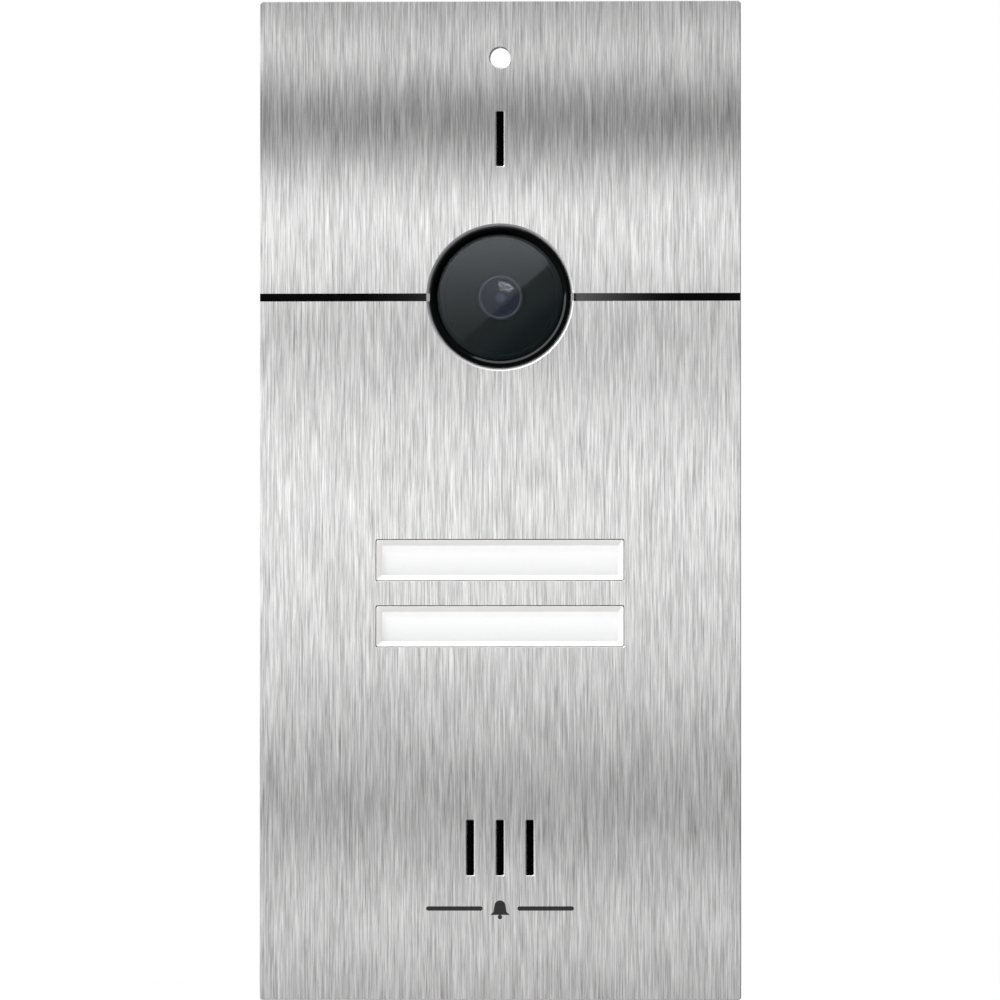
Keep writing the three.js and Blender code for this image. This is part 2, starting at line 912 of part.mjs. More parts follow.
// ---------------------------------------------------------------------------
// Rear cover with its wiring bay, the seal, the screws and the lower hook
// ---------------------------------------------------------------------------

const terminalBlockWidth = terminalPitch * terminalCount;
const partFront = boardBack + seatGap; // front of whatever is soldered on the rear face

function coverSeal() {
  const outline = housingOutline(sealInset);
  outline.holes.push(housingOutline(sealInset + sealWidth));
  return slab(outline, sealFront, sealFront + sealThickness);
}

function coverPillar(x, z) {
  const back = coverBack - housingWall / 2;
  const pillar = disc(postDiameter, coverFront, back, smallRound, x, z);
  return pillar.add(disc(postTipDiameter, pillarFront, back, smallRound, x, z));
}

function coverPillarBore(x, z) {
  const narrow = (screwDiameter + 2 * boltGap) / 2;
  const wide = screwHeadDiameter / 2 + fitGap;
  const profile = [
    [0, pillarFront - cutOver],
    [narrow, pillarFront - cutOver],
    [narrow, pillarSeat],
    [wide, pillarSeat],
    [wide, coverBack + cutOver],
    [0, coverBack + cutOver],
  ];
  return turned(profile, smallRound, x, z);
}

function bayCutout(width, height, x, z) {
  const outline = squareOutline(width + 2 * cutoutGap, height + 2 * cutoutGap, x, z);
  return slab(outline, bayFloorFront - cutOver, bayFloorBack + cutOver);
}

function rearCover() {
  const shell = chamferedSlab(
    housingOutline(0),
    coverFront - coverEdgeChamfer,
    coverBack,
    coverEdgeChamfer,
  );
  const rimTrim = slab(
    housingOutline(-cutOver),
    coverFront - 2 * coverEdgeChamfer,
    coverFront,
  );
  const hollow = slab(
    housingOutline(housingWall),
    coverFront - cutOver,
    coverBack - housingWall,
  );
  const bayBox = slab(
    squareOutline(bayWidth + 2 * bayWall, bayHeight + 2 * bayWall, 0, bayMiddle),
    bayFloorFront,
    coverBack - housingWall / 2,
  );
  const bayHollow = slab(
    squareOutline(bayWidth, bayHeight, 0, bayMiddle),
    bayFloorBack,
    coverBack + cutOver,
  );
  const body = joined([
    cut(shell, [rimTrim, hollow]),
    ...boardLedges(boardBack + seatGap, ledgeBack, insideSeal),
    ...boardLedges(coverFront, ledgeBack, ledgeRoot),
    ...postPlaces.map(([x, z]) => coverPillar(x, z)),
    bayBox,
  ]);
  return cut(body, [
    bayHollow,
    ...postPlaces.map(([x, z]) => coverPillarBore(x, z)),
    bayCutout(terminalBlockWidth, terminalBlockHeight, terminalBlockX, terminalBlockZ),
    bayCutout(trimmerSize, trimmerSize, speakerTrimmerX, trimmerZ),
    bayCutout(trimmerSize, trimmerSize, microphoneTrimmerX, trimmerZ),
  ]);
}

// A pan-head screw that comes from the rear and ends in a standoff of the plate.
function housingScrew() {
  const head = screwHeadDiameter / 2;
  const shank = screwDiameter / 2;
  const drive = screwDriveDiameter / 2;
  const seat = pillarSeat + seatGap;
  const top = seat + screwHeadHeight;
  const tip = plateBack + standoffFloor + screwTipGap;
  const profile = [
    [0, tip],
    [shank, tip],
    [shank, seat],
    [head, seat],
    [head, top],
    [drive, top],
    [drive, top - screwDriveDepth],
    [0, top - screwDriveDepth],
  ];
  return turned(profile, smallRound);
}

// A bent steel hook under the housing: its lip drops behind the edge of the wall box.
function lowerHook() {
  const top = housingBottom - seatGap;
  const back = hookFromWall + hookDepth;
  const half = hookWidth / 2;
  const prongMiddle = hookFromWall + hookProngPlace;
  const plate = block(-half, half, hookFromWall, back, top - hookThickness, top);
  const lipTop = top - hookThickness / 2;
  const lip = block(
    -half,
    half,
    back - hookThickness,
    back,
    top - hookThickness - hookLip,
    lipTop,
  );
  const prongs = [-hookProngFromMiddle, hookProngFromMiddle].map((x) =>
    block(
      x - hookProngWidth / 2,
      x + hookProngWidth / 2,
      prongMiddle - hookThickness / 2,
      prongMiddle + hookThickness / 2,
      lipTop,
      top + hookProngLength,
    ),
  );
  return joined([plate, lip, ...prongs]);
}

addPiece(panel, "cover_seal", coverSeal(), blackRubber);
addPiece(panel, "rear_cover", rearCover(), housingBlack);
postPlaces.forEach(([x, z], i) => {
  addPiece(groupAt(x, z), `housing_screw_${i + 1}`, housingScrew(), zincSteel);
});
addPiece(panel, "lower_hook", lowerHook(), plainSteel);

// ---------------------------------------------------------------------------
// Camera
// ---------------------------------------------------------------------------

const bezelFront = plateFront - bezelProud;
const bezelBack = chassisFront + bezelFlangeThickness;
const windowRim = bezelFront + windowSetback;
const windowBack = windowRim + windowThickness;
const windowSealFront = windowBack + seatGap;
const bezelLedge = windowSealFront + windowSealThickness + seatGap;
const baffleFront = bezelLedge + seatGap;
const barrelFront = baffleFront + fitGap;
const holderBaseBack = cameraBoardFront - seatGap;
const holderBaseFront = holderBaseBack - holderBaseHeight;

// A shallow dome from the axis to the rim, as [radius, y] points.
function dome(rimRadius, yRim, height) {
  const sphere = (rimRadius ** 2 + height ** 2) / (2 * height);
  const halfAngle = Math.asin(rimRadius / sphere);
  const points = [];
  for (let i = 0; i <= domeSteps; i += 1) {
    const angle = (halfAngle * i) / domeSteps;
    const drop = sphere * (1 - Math.cos(angle));
    points.push([sphere * Math.sin(angle), yRim - height + drop]);
  }
  return points;
}

function cameraBezel() {
  const outer = bezelDiameter / 2;
  const bore = windowDiameter / 2 + fitGap / 2;
  const profile = [
    [bezelBore / 2, bezelLedge],
    [bore, bezelLedge],
    [bore, bezelFront],
    [outer - bezelEdgeChamfer, bezelFront],
    [outer, bezelFront + bezelEdgeChamfer],
    [outer, chassisFront],
    [bezelFlangeDiameter / 2, chassisFront],
    [bezelFlangeDiameter / 2, bezelBack],
    [bezelBore / 2, bezelBack],
    [bezelBore / 2, bezelLedge],
  ];
  return turned(profile, largeRound);
}

function cameraWindow() {
  const rim = windowDiameter / 2;
  const profile = [...dome(rim, windowRim, windowDome), [rim, windowBack], [0, windowBack]];
  return turned(profile, largeRound);
}

function cameraBaffle() {
  const outer = bezelBore / 2 - fitGap / 2;
  const aperture = baffleAperture / 2;
  const back = baffleFront + baffleThickness;
  const profile = [
    [aperture, baffleFront],
    [outer, baffleFront],
    [outer, back],
    [aperture + baffleThickness, back],
    [aperture, baffleFront],
  ];
  return turned(profile, largeRound);
}

function lensBarrel() {
  const head = barrelDiameter / 2;
  const thread = barrelThreadDiameter / 2;
  const lensSeat = frontLensDiameter / 2 + fitGap / 2;
  const seatBack = barrelFront + frontLensDome + frontLensThickness;
  const headBack = barrelFront + barrelHeadLength;
  const end = headBack + barrelThreadLength;
  const profile = [
    [barrelBore / 2, seatBack],
    [lensSeat, seatBack],
    [lensSeat, barrelFront],
    [head, barrelFront],
    [head, headBack],
    [thread, headBack],
    [thread, end],
    [barrelBore / 2, end],
    [barrelBore / 2, seatBack],
  ];
  return turned(profile, mediumRound);
}

function lens(diameter, yRim, height, yBack) {
  const rim = diameter / 2;
  return turned([...dome(rim, yRim, height), [rim, yBack], [0, yBack]], mediumRound);
}

function frontLens() {
  const rim = barrelFront + frontLensDome + fitGap;
  return lens(frontLensDiameter, rim, frontLensDome, rim + frontLensThickness - 2 * fitGap);
}

function rearLens() {
  const back = barrelFront + barrelHeadLength + barrelThreadLength - fitGap;
  const rim = back - rearLensThickness;
  return lens(rearLensDiameter - fitGap, rim, rearLensDome, back);
}

function lensHolder() {
  const neckFront = holderBaseFront - holderNeckLength;
  const bore = barrelThreadDiameter + fitGap;
  const base = slab(squareOutline(holderSize, holderSize), holderBaseFront, holderBaseBack);
  const neck = disc(holderNeckDiameter, neckFront, holderBaseFront + weldDepth, mediumRound);
  const room = sensorSize + 2 * sensorGap;
  const roomFront = cameraBoardFront - sensorThickness - sensorGap;
  return cut(base.add(neck), [
    disc(bore, neckFront - cutOver, holderBaseBack + cutOver, mediumRound),
    slab(squareOutline(room, room), roomFront, holderBaseBack + cutOver),
  ]);
}

// A flat flexible cable from the camera board down to the main board.
function cameraRibbon() {
  const start = cameraBoardBack + fitGap;
  const end = boardFront - fitGap - ribbonThickness;
  const low = -cameraBoardSize / 2;
  const [bend, landing, tail] = ribbonDrops.map((drop) => low - drop);
  const route = new THREE.CatmullRomCurve3(
    [
      new THREE.Vector3(start, low + ribbonOnBoard, 0),
      new THREE.Vector3(start, low, 0),
      new THREE.Vector3((start + end) / 2, bend, 0),
      new THREE.Vector3(end, landing, 0),
      new THREE.Vector3(end, tail, 0),
    ],
    false,
    "centripetal",
  );
  const near = route.getPoints(ribbonSteps);
  const far = near.map((p) => new THREE.Vector3(p.x + ribbonThickness, p.y, 0)).reverse();
  const section = new THREE.Shape([...near, ...far].map((p) => new THREE.Vector2(p.x, p.y)));
  const geometry = new THREE.ExtrudeGeometry(section, {
    depth: ribbonWidth,
    bevelEnabled: false,
  });
  // The section was drawn with depth across and height up; turn its depth onto Y.
  geometry.rotateX(Math.PI / 2);
  geometry.rotateZ(Math.PI / 2);
  geometry.translate(-ribbonWidth / 2, 0, 0);
  return solidFrom(geometry);
}

const camera = groupAt(0, cameraZ);
const sealOuter = windowDiameter;
addPiece(camera, "camera_bezel", cameraBezel(), glossBlack);
addPiece(camera, "camera_window", cameraWindow(), smokedGlass);
addPiece(
  camera,
  "window_seal",
  ring(
    sealOuter,
    sealOuter - 2 * windowSealWidth,
    windowSealFront,
    windowSealFront + windowSealThickness,
    largeRound,
  ),
  blackRubber,
);
addPiece(camera, "camera_baffle", cameraBaffle(), satinBlack);
addPiece(camera, "lens_barrel", lensBarrel(), satinBlack);
addPiece(camera, "front_lens", frontLens(), lensGlass);
addPiece(camera, "rear_lens", rearLens(), lensGlass);
addPiece(camera, "lens_holder", lensHolder(), satinBlack);
addPiece(
  camera,
  "image_sensor",
  slab(
    squareOutline(sensorSize, sensorSize),
    cameraBoardFront - seatGap - sensorThickness,
    cameraBoardFront - seatGap,
  ),
  chipBlack,
);
addPiece(
  camera,
  "camera_board",
  slab(squareOutline(cameraBoardSize, cameraBoardSize), cameraBoardFront, cameraBoardBack),
  greenBoard,
);
addPiece(camera, "camera_ribbon_cable", cameraRibbon(), amberRibbon);

// ---------------------------------------------------------------------------
// Microphone
// ---------------------------------------------------------------------------

const capsuleBack = bootFront + bootLength - fitGap;
const capsuleFront = capsuleBack - capsuleLength;

function microphoneBoot() {
  const outer = bootDiameter / 2;
  const bore = capsuleDiameter / 2 + fitGap;
  const port = bootPort / 2;
  const back = bootFront + bootLength;
  const seat = capsuleFront - fitGap;
  const profile = [
    [port, bootFront],
    [outer, bootFront],
    [outer, back],
    [bore, back],
    [bore, seat],
    [port, seat],
    [port, bootFront],
  ];
  return turned(profile, mediumRound);
}

function microphoneCapsule() {
  const can = disc(capsuleDiameter, capsuleFront, capsuleBack, mediumRound);
  const pins = [-capsulePinPitch / 2, capsulePinPitch / 2].map((x) =>
    disc(capsulePinDiameter, capsuleBack - weldDepth, boardFront - seatGap, tinyRound, x, 0),
  );
  return joined([can, ...pins]);
}

const microphone = groupAt(0, microphoneZ);
addPiece(microphone, "microphone_boot", microphoneBoot(), blackRubber);
addPiece(microphone, "microphone_capsule", microphoneCapsule(), plainSteel);

// ---------------------------------------------------------------------------
// Speaker
// ---------------------------------------------------------------------------

const speakerRimBack = speakerRimFront + speakerRimThickness;
const basketBack = speakerRimBack + basketDepth;
const magnetFront = basketBack + seatGap;

function speakerFrame() {
  const rim = speakerDiameter / 2;
  const inner = rim - speakerRimWidth;
  const backRadius = basketBackDiameter / 2;
  const magnetHole = magnetBossDiameter / 2 + fitGap;
  const profile = [
    [inner, speakerRimFront],
    [rim, speakerRimFront],
    [rim, speakerRimBack],
    [inner, speakerRimBack],
    [backRadius, basketBack],
    [magnetHole, basketBack],
    [magnetHole, basketBack - basketWall],
    [backRadius - basketWall, basketBack - basketWall],
    [inner - basketWall, speakerRimBack],
    [inner - basketWall, speakerRimFront + basketWall],
    [inner, speakerRimFront],
  ];
  const tails = [-1, 1].map((side) => {
    const x = side * (magnetDiameter / 2 + speakerTailGap);
    return block(
      x - speakerTailWidth / 2,
      x + speakerTailWidth / 2,
      basketBack - 2 * basketWall,
      boardFront - seatGap,
      -speakerTailThickness / 2,
      speakerTailThickness / 2,
    );
  });
  return joined([turned(profile, mediumRound), ...tails]);
}

function speakerMagnet() {
  const radius = magnetDiameter / 2;
  const boss = magnetBossDiameter / 2;
  const profile = [
    [0, magnetFront - magnetBossDepth],
    [boss, magnetFront - magnetBossDepth],
    [boss, magnetFront],
    [radius, magnetFront],
    [radius, magnetFront + magnetDepth],
    [0, magnetFront + magnetDepth],
  ];
  return turned(profile, mediumRound);
}

// A thin cone with a rounded dust cap, drawn from the axis out and back again.
function speakerCone() {
  const edge = speakerDiameter / 2 - speakerRimWidth - basketWall - fitGap;
  const cap = dustCapDiameter / 2;
  const front = speakerRimFront + basketWall;
  const capRim = front + coneDepth;
  const capPoints = dome(cap, capRim, dustCapHeight);
  const rearCap = capPoints.map(([radius, y]) => [radius, y + coneThickness]);
  const profile = [
    ...capPoints,
    [edge - coneRimWidth, front],
    [edge, front],
    [edge, front + coneThickness],
    [edge - coneRimWidth, front + coneThickness],
    ...rearCap.reverse(),
  ];
  return turned(profile, mediumRound);
}

const speaker = groupAt(0, speakerZ);
addPiece(
  speaker,
  "speaker_membrane",
  disc(
    membraneDiameter,
    chassisFront + seatGap,
    chassisFront + seatGap + membraneThickness,
    mediumRound,
  ),
  satinBlack,
);
addPiece(
  speaker,
  "speaker_gasket",
  ring(
    speakerDiameter,
    speakerDiameter - 2 * speakerGasketWidth,
    speakerGasketFront,
    speakerGasketFront + speakerGasketThickness,
    mediumRound,
  ),
  blackRubber,
);
addPiece(speaker, "speaker_frame", speakerFrame(), satinBlack);
addPiece(speaker, "speaker_cone", speakerCone(), mylarCone);
addPiece(speaker, "speaker_magnet", speakerMagnet(), magnetSteel);

// ---------------------------------------------------------------------------
// Call buttons: a framed name plate over a light diffuser, springs and a switch
// ---------------------------------------------------------------------------

const capWidth = buttonWindowWidth - 2 * buttonGap;
const capHeight = buttonWindowHeight - 2 * buttonGap;
const capBoreWidth = capWidth - 2 * buttonWall;
const capBoreHeight = capHeight - 2 * buttonWall;
const labelCoverFront = plateFront + buttonRimDepth + buttonLip + seatGap;
const labelCoverBack = labelCoverFront + labelCoverThickness;
const labelFront = labelCoverBack + seatGap;
const labelBack = labelFront + labelThickness;
const diffuserFront = labelBack + seatGap;
const diffuserBack = diffuserFront + diffuserDepth;
const flangeFront = plateBack + seatGap;
const flangeBack = flangeFront + buttonFlangeThickness;
const plungerRibEnd = boardFront - seatGap - switchHeight - switchPlungerReach - seatGap;

function buttonFrame() {
  const outer = roundedOutline(capWidth, capHeight, buttonCornerRadius);
  const opening = squareOutline(capWidth - 2 * buttonRim, capHeight - 2 * buttonRim);
  const bore = squareOutline(capBoreWidth, capBoreHeight);
  const sleeve = slab(outer, plateFront, flangeBack);
  const flange = slab(
    roundedOutline(flangeWidth, flangeHeight, buttonFlangeCorner),
    flangeFront,
    flangeBack,
  );
  const rimSlope = new THREE.ExtrudeGeometry(opening, {
    depth: cutOver,
    bevelEnabled: true,
    bevelThickness: buttonRimDepth,
    bevelSize: buttonRim - buttonLip,
    bevelSegments: 1,
  });
  rimSlope.rotateX(Math.PI / 2);
  rimSlope.translate(0, plateFront, 0);
  return cut(sleeve.add(flange), [
    solidFrom(rimSlope),
    slab(opening, plateFront - cutOver, plateBack),
    slab(bore, plateFront + buttonRimDepth + buttonLip, flangeBack + cutOver),
  ]);
}

function insert(yFront, yBack) {
  const outline = squareOutline(capBoreWidth - fitGap, capBoreHeight - fitGap);
  return slab(outline, yFront, yBack);
}

function lightDiffuser() {
  const rib = disc(plungerRibDiameter, diffuserBack - weldDepth, plungerRibEnd, smallRound);
  return insert(diffuserFront, diffuserBack).add(rib);
}

// A coil spring between the diffuser and the floor of the well.
function returnSpring() {
  const start = diffuserBack + seatGap + springWire / 2;
  const end = wellFloorFront - seatGap - springWire / 2;
  const steps = springTurns * springStepsPerTurn;
  const points = [];
  for (let i = 0; i <= steps; i += 1) {
    const angle = (2 * Math.PI * i) / springStepsPerTurn;
    points.push(
      new THREE.Vector3(
        (springDiameter / 2) * Math.cos(angle),
        start + ((end - start) * i) / steps,
        (springDiameter / 2) * Math.sin(angle),
      ),
    );
  }
  const wire = new THREE.Shape();
  wire.absarc(0, 0, springWire / 2, 0, 2 * Math.PI, false);
  const geometry = new THREE.ExtrudeGeometry(wire, {
    steps,
    curveSegments: wireSteps,
    bevelEnabled: false,
    extrudePath: new THREE.CatmullRomCurve3(points),
  });
  return solidFrom(geometry);
}

// A square push switch: its plunger slides in a blind bore.
function pushSwitch() {
  const back = boardFront - seatGap;
  const front = back - switchHeight;
  const bore = switchPlungerDiameter + slideGap;
  const boreEnd = front + switchPlungerInside + buttonTravel + slideGap;
  const body = slab(squareOutline(switchSize, switchSize), front, back);
  return cut(body, [disc(bore, front - cutOver, boreEnd, smallRound)]);
}

function switchPlunger() {
  const front = plungerRibEnd + seatGap;
  const back = boardFront - seatGap - switchHeight + switchPlungerInside;
  return disc(switchPlungerDiameter, front, back, smallRound);
}

function lamp() {
  return slab(
    squareOutline(lampWidth, lampHeight, lightFromMiddle, 0),
    boardFront - seatGap - lampThickness,
    boardFront - seatGap,
  );
}

for (const [side, z] of [
  ["upper", upperButtonZ],
  ["lower", lowerButtonZ],
]) {
  const button = groupAt(0, z);
  addPiece(button, `${side}_button_frame`, buttonFrame(), buttonPlastic);
  addPiece(
    button,
    `${side}_label_cover`,
    insert(labelCoverFront, labelCoverBack),
    clearPlastic,
  );
  addPiece(button, `${side}_name_label`, insert(labelFront, labelBack), whiteLabel);
  addPiece(button, `${side}_light_diffuser`, lightDiffuser(), whiteDiffuser);
  addPiece(button, `${side}_push_switch`, pushSwitch(), chipBlack);
  addPiece(button, `${side}_switch_plunger`, switchPlunger(), whiteRotor);
  addPiece(button, `${side}_name_lamp`, lamp(), lampYellow);
  for (const [hand, x] of [
    ["left", -springFromMiddle],
    ["right", springFromMiddle],
  ]) {
    const place = groupAt(x, z);
    addPiece(place, `${side}_${hand}_return_spring`, returnSpring(), zincSteel);
  }
}

// ---------------------------------------------------------------------------
// Main board and what is soldered on its rear face
// ---------------------------------------------------------------------------

function mainBoard() {
  const outline = squareOutline(
    2 * boardHalfWidth,
    boardTop - boardBottom,
    0,
    (boardTop + boardBottom) / 2,
  );
  const notch = postDiameter + 2 * boardPostGap;
  const notches = postPlaces.map(([x, z]) =>
    disc(notch, boardFront - cutOver, boardBack + cutOver, smallRound, x, z),
  );
  return cut(slab(outline, boardFront, boardBack), notches);
}

function terminalPlaces() {
  const places = [];
  for (let i = 0; i < terminalCount; i += 1) {
    places.push((i - (terminalCount - 1) / 2) * terminalPitch);
  }
  return places;
}

// Wires enter from below, screws from the rear.
function terminalBlock() {
  const back = partFront + terminalDepth;
  const body = slab(squareOutline(terminalBlockWidth, terminalBlockHeight), partFront, back);
  const screwBores = terminalPlaces().map((x) =>
    disc(terminalBore, back - terminalBoreDepth, back + cutOver, smallRound, x, 0),
  );
  const wireHoles = terminalPlaces().map((x) =>
    block(
      x - terminalWireHole / 2,
      x + terminalWireHole / 2,
      back - terminalWireDepth - terminalWireHole / 2,
      back - terminalWireDepth + terminalWireHole / 2,
      -terminalBlockHeight / 2 - cutOver,
      terminalBore / 2,
    ),
  );
  return cut(body, [...screwBores, ...wireHoles]);
}

function terminalScrew() {
  const back = partFront + terminalDepth - terminalScrewSink;
  const front = back - terminalScrewLength;
  const shank = disc(terminalScrewDiameter, front, back, smallRound);
  const slot = block(
    -terminalScrewDiameter,
    terminalScrewDiameter,
    back - terminalScrewSlotDepth,
    back + cutOver,
    -terminalScrewSlot / 2,
    terminalScrewSlot / 2,
  );
  return cut(shank, [slot]);
}

function trimmerBase() {
  const back = partFront + trimmerHeight;
  const body = slab(squareOutline(trimmerSize, trimmerSize), partFront, back);
  const bore = trimmerRotorDiameter + 2 * slideGap;
  return cut(body, [disc(bore, back - trimmerRotorDepth, back + cutOver, smallRound)]);
}

// The screwdriver slot runs from the middle to one edge, so the setting can be read.
function trimmerRotor() {
  const front = partFront + trimmerHeight - trimmerRotorDepth + seatGap;
  const back = front + trimmerRotorLength;
  const rotor = disc(trimmerRotorDiameter, front, back, smallRound);
  const radius = trimmerRotorDiameter / 2;
  const slot = block(
    -trimmerSlotLength / 2,
    trimmerSlotLength / 2,
    back - trimmerSlotDepth,
    back + cutOver,
    -trimmerSlotWidth / 2,
    trimmerSlotWidth / 2,
  );
  const pointer = block(
    -trimmerSlotWidth / 2,
    trimmerSlotWidth / 2,
    back - trimmerPointerDepth,
    back + cutOver,
    0,
    radius + cutOver,
  );
  return cut(rotor, [slot, pointer]);
}

function powerCapacitor() {
  const radius = capacitorDiameter / 2;
  const back = partFront + capacitorHeight;
  const crimp = partFront + capacitorCrimpPlace;
  const profile = [
    [0, partFront],
    [radius, partFront],
    [radius, crimp],
    [radius - capacitorCrimp, crimp + capacitorCrimp],
    [radius, crimp + 2 * capacitorCrimp],
    [radius, back - capacitorCrimp],
    [radius - capacitorCrimp, back],
    [0, back],
  ];
  return turned(profile, smallRound);
}

addPiece(panel, "main_board", mainBoard(), greenBoard);
const terminals = groupAt(terminalBlockX, terminalBlockZ);
addPiece(terminals, "terminal_block", terminalBlock(), greenTerminal);
terminalPlaces().forEach((x, i) => {
  const place = groupAt(terminalBlockX + x, terminalBlockZ);
  addPiece(place, `terminal_screw_${i + 1}`, terminalScrew(), zincSteel);
});
for (const [name, x] of [
  ["speaker_trimmer", speakerTrimmerX],
  ["microphone_trimmer", microphoneTrimmerX],
]) {
  const place = groupAt(x, trimmerZ);
  addPiece(place, `${name}_base`, trimmerBase(), blueTrimmer);
  addPiece(place, `${name}_rotor`, trimmerRotor(), whiteRotor);
}
addPiece(
  groupAt(processorX, bayTop + processorAboveBay),
  "video_processor",
  slab(
    squareOutline(processorSize, processorSize),
    partFront,
    partFront + processorThickness,
  ),
  chipBlack,
);
addPiece(
  groupAt(capacitorX, bayTop + capacitorAboveBay),
  "power_capacitor",
  powerCapacitor(),
  capacitorSleeve,
);

export default panel;
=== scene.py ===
"""Door intercom panel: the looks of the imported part.

Shapes are worked out in millimetres and written in metres. Places and sizes come from
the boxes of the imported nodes; what a box can't say is a named value below.
"""

import json
import math

import bpy
from mathutils import Matrix, Vector

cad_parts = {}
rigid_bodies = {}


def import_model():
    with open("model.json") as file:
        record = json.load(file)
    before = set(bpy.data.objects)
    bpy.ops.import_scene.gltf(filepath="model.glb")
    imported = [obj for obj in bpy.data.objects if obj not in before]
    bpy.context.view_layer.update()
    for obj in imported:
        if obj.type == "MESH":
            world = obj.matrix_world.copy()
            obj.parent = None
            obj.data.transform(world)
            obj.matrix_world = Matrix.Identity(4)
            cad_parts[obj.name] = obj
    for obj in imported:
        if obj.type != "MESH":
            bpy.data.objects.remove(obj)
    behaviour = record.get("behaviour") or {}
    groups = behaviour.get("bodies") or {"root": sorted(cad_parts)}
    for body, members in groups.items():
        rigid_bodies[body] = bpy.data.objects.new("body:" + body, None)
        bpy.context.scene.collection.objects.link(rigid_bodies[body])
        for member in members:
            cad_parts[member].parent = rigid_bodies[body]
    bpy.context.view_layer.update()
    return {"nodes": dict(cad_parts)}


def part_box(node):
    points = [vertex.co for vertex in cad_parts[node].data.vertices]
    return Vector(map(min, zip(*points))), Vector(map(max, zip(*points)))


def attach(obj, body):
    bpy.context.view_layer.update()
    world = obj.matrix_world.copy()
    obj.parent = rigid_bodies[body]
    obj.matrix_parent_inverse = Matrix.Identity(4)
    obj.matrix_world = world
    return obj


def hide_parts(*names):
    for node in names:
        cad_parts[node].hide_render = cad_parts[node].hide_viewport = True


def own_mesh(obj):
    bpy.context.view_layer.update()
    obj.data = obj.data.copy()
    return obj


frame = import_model()

MM = 0.001
HOUSING = "housing"

# Clearances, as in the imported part
SEAT_GAP = 0.1
FIT_GAP = 0.2
SLIDE_GAP = 0.3
OVER = 1.0               # how far a cutting shape reaches past the face that it opens
ROOT = 0.5               # how far a feature reaches into the body that it is part of

# Segments round a circle
FINE = 160
ROUND = 96
SMALL = 48

# Edges
PLATE_CORNER = 0.6
PLATE_EDGE = 0.14
PLATE_THICKNESS = 3.0
SLOT_CORNER = 0.2
SLOT_EDGE = 0.28
HOLE_EDGE = 0.25
WINDOW_EDGE = 0.12
CAMERA_BEVEL_WIDTH = 0.65
CAMERA_BEVEL_DEPTH = 0.18
MOULDED_EDGE = 0.25


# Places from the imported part, in millimetres

def box(node):
    low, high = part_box(node)
    return low / MM, high / MM


def middle(node):
    low, high = box(node)
    return (low + high) / 2


def size(node):
    low, high = box(node)
    return high - low


PLATE_FRONT = box("front_plate")[0].y
PLATE_BACK = PLATE_FRONT + PLATE_THICKNESS
CHASSIS_FRONT = box("front_chassis")[0].y
CAMERA_Z = middle("camera_bezel").z
BUTTON_Z = {side: middle(f"{side}_button_frame").z for side in ("upper", "lower")}
SPEAKER_Z = middle("speaker_membrane").z
MICROPHONE_Z = middle("microphone_boot").z
POSTS = [(middle(f"housing_screw_{i}").x, middle(f"housing_screw_{i}").z) for i in (1, 2, 3, 4)]


# Outlines in the plane of the plate: lists of (x, z), anticlockwise from the front

def rounded(width, height, radius, x=0.0, z=0.0, steps=8):
    points = []
    for side, up, start in ((1, -1, -90), (1, 1, 0), (-1, 1, 90), (-1, -1, 180)):
        centre_x = x + side * (width / 2 - radius)
        centre_z = z + up * (height / 2 - radius)
        for i in range(steps + 1):
            angle = math.radians(start + 90 * i / steps)
            points.append((centre_x + radius * math.cos(angle),
                           centre_z + radius * math.sin(angle)))
    return points


def square(width, height, x=0.0, z=0.0):
    half_w, half_h = width / 2, height / 2
    return [(x + half_w, z - half_h), (x + half_w, z + half_h),
            (x - half_w, z + half_h), (x - half_w, z - half_h)]


# Solids

def raw(vertices, faces):
    mesh = bpy.data.meshes.new("raw")
    mesh.from_pydata(vertices, [], faces)
    mesh.validate()
    shape = bpy.data.objects.new("raw", mesh)
    bpy.context.scene.collection.objects.link(shape)
    return shape


def loft(sections):
    """A solid through outlines of one point count, each given as (outline, y), front first."""
    count = len(sections[0][0])
    vertices = [(x, y, z) for outline, y in sections for x, z in outline]
    faces = [tuple(range(count))]
    for row in range(len(sections) - 1):
        for i in range(count):
            j = (i + 1) % count
            a, b = row * count, (row + 1) * count
            faces.append((a + j, a + i, b + i, b + j))
    last = (len(sections) - 1) * count
    faces.append(tuple(last + i for i in reversed(range(count))))
    return raw(vertices, faces)


def slab(outline, front, back):
    return loft([(outline, front), (outline, back)])


def block(x_min, x_max, y_min, y_max, z_min, z_max):
    outline = square(x_max - x_min, z_max - z_min, (x_min + x_max) / 2, (z_min + z_max) / 2)
    return slab(outline, y_min, y_max)


def turned(profile, segments=ROUND, x=0.0, z=0.0):
    """Points (radius, y) turned about an axis along the depth, front first, outside on the left.
    The profile starts and ends on the axis, or closes on itself."""
    closed = profile[0] == profile[-1]
    points = profile[:-1] if closed else profile
    vertices, rings = [], []
    for radius, y in points:
        start = len(vertices)
        if radius == 0:
            vertices.append((x, y, z))
            rings.append([start] * segments)
            continue
        for i in range(segments):
            angle = 2 * math.pi * i / segments
            vertices.append((x + radius * math.cos(angle), y, z + radius * math.sin(angle)))
        rings.append(list(range(start, start + segments)))
    faces = []
    spans = len(points) if closed else len(points) - 1
    for row in range(spans):
        near, far = rings[row], rings[(row + 1) % len(points)]
        for i in range(segments):
            j = (i + 1) % segments
            corners = [near[j], near[i], far[i], far[j]]
            face = [c for k, c in enumerate(corners) if c != corners[k - 1]]
            faces.append(tuple(face))
    return raw(vertices, faces)


def spindle(points, segments=ROUND, x=0.0, z=0.0):
    """Turned from points that don't reach the axis, and closed with a flat end each way."""
    return turned([(0, points[0][1]), *points, (0, points[-1][1])], segments, x, z)


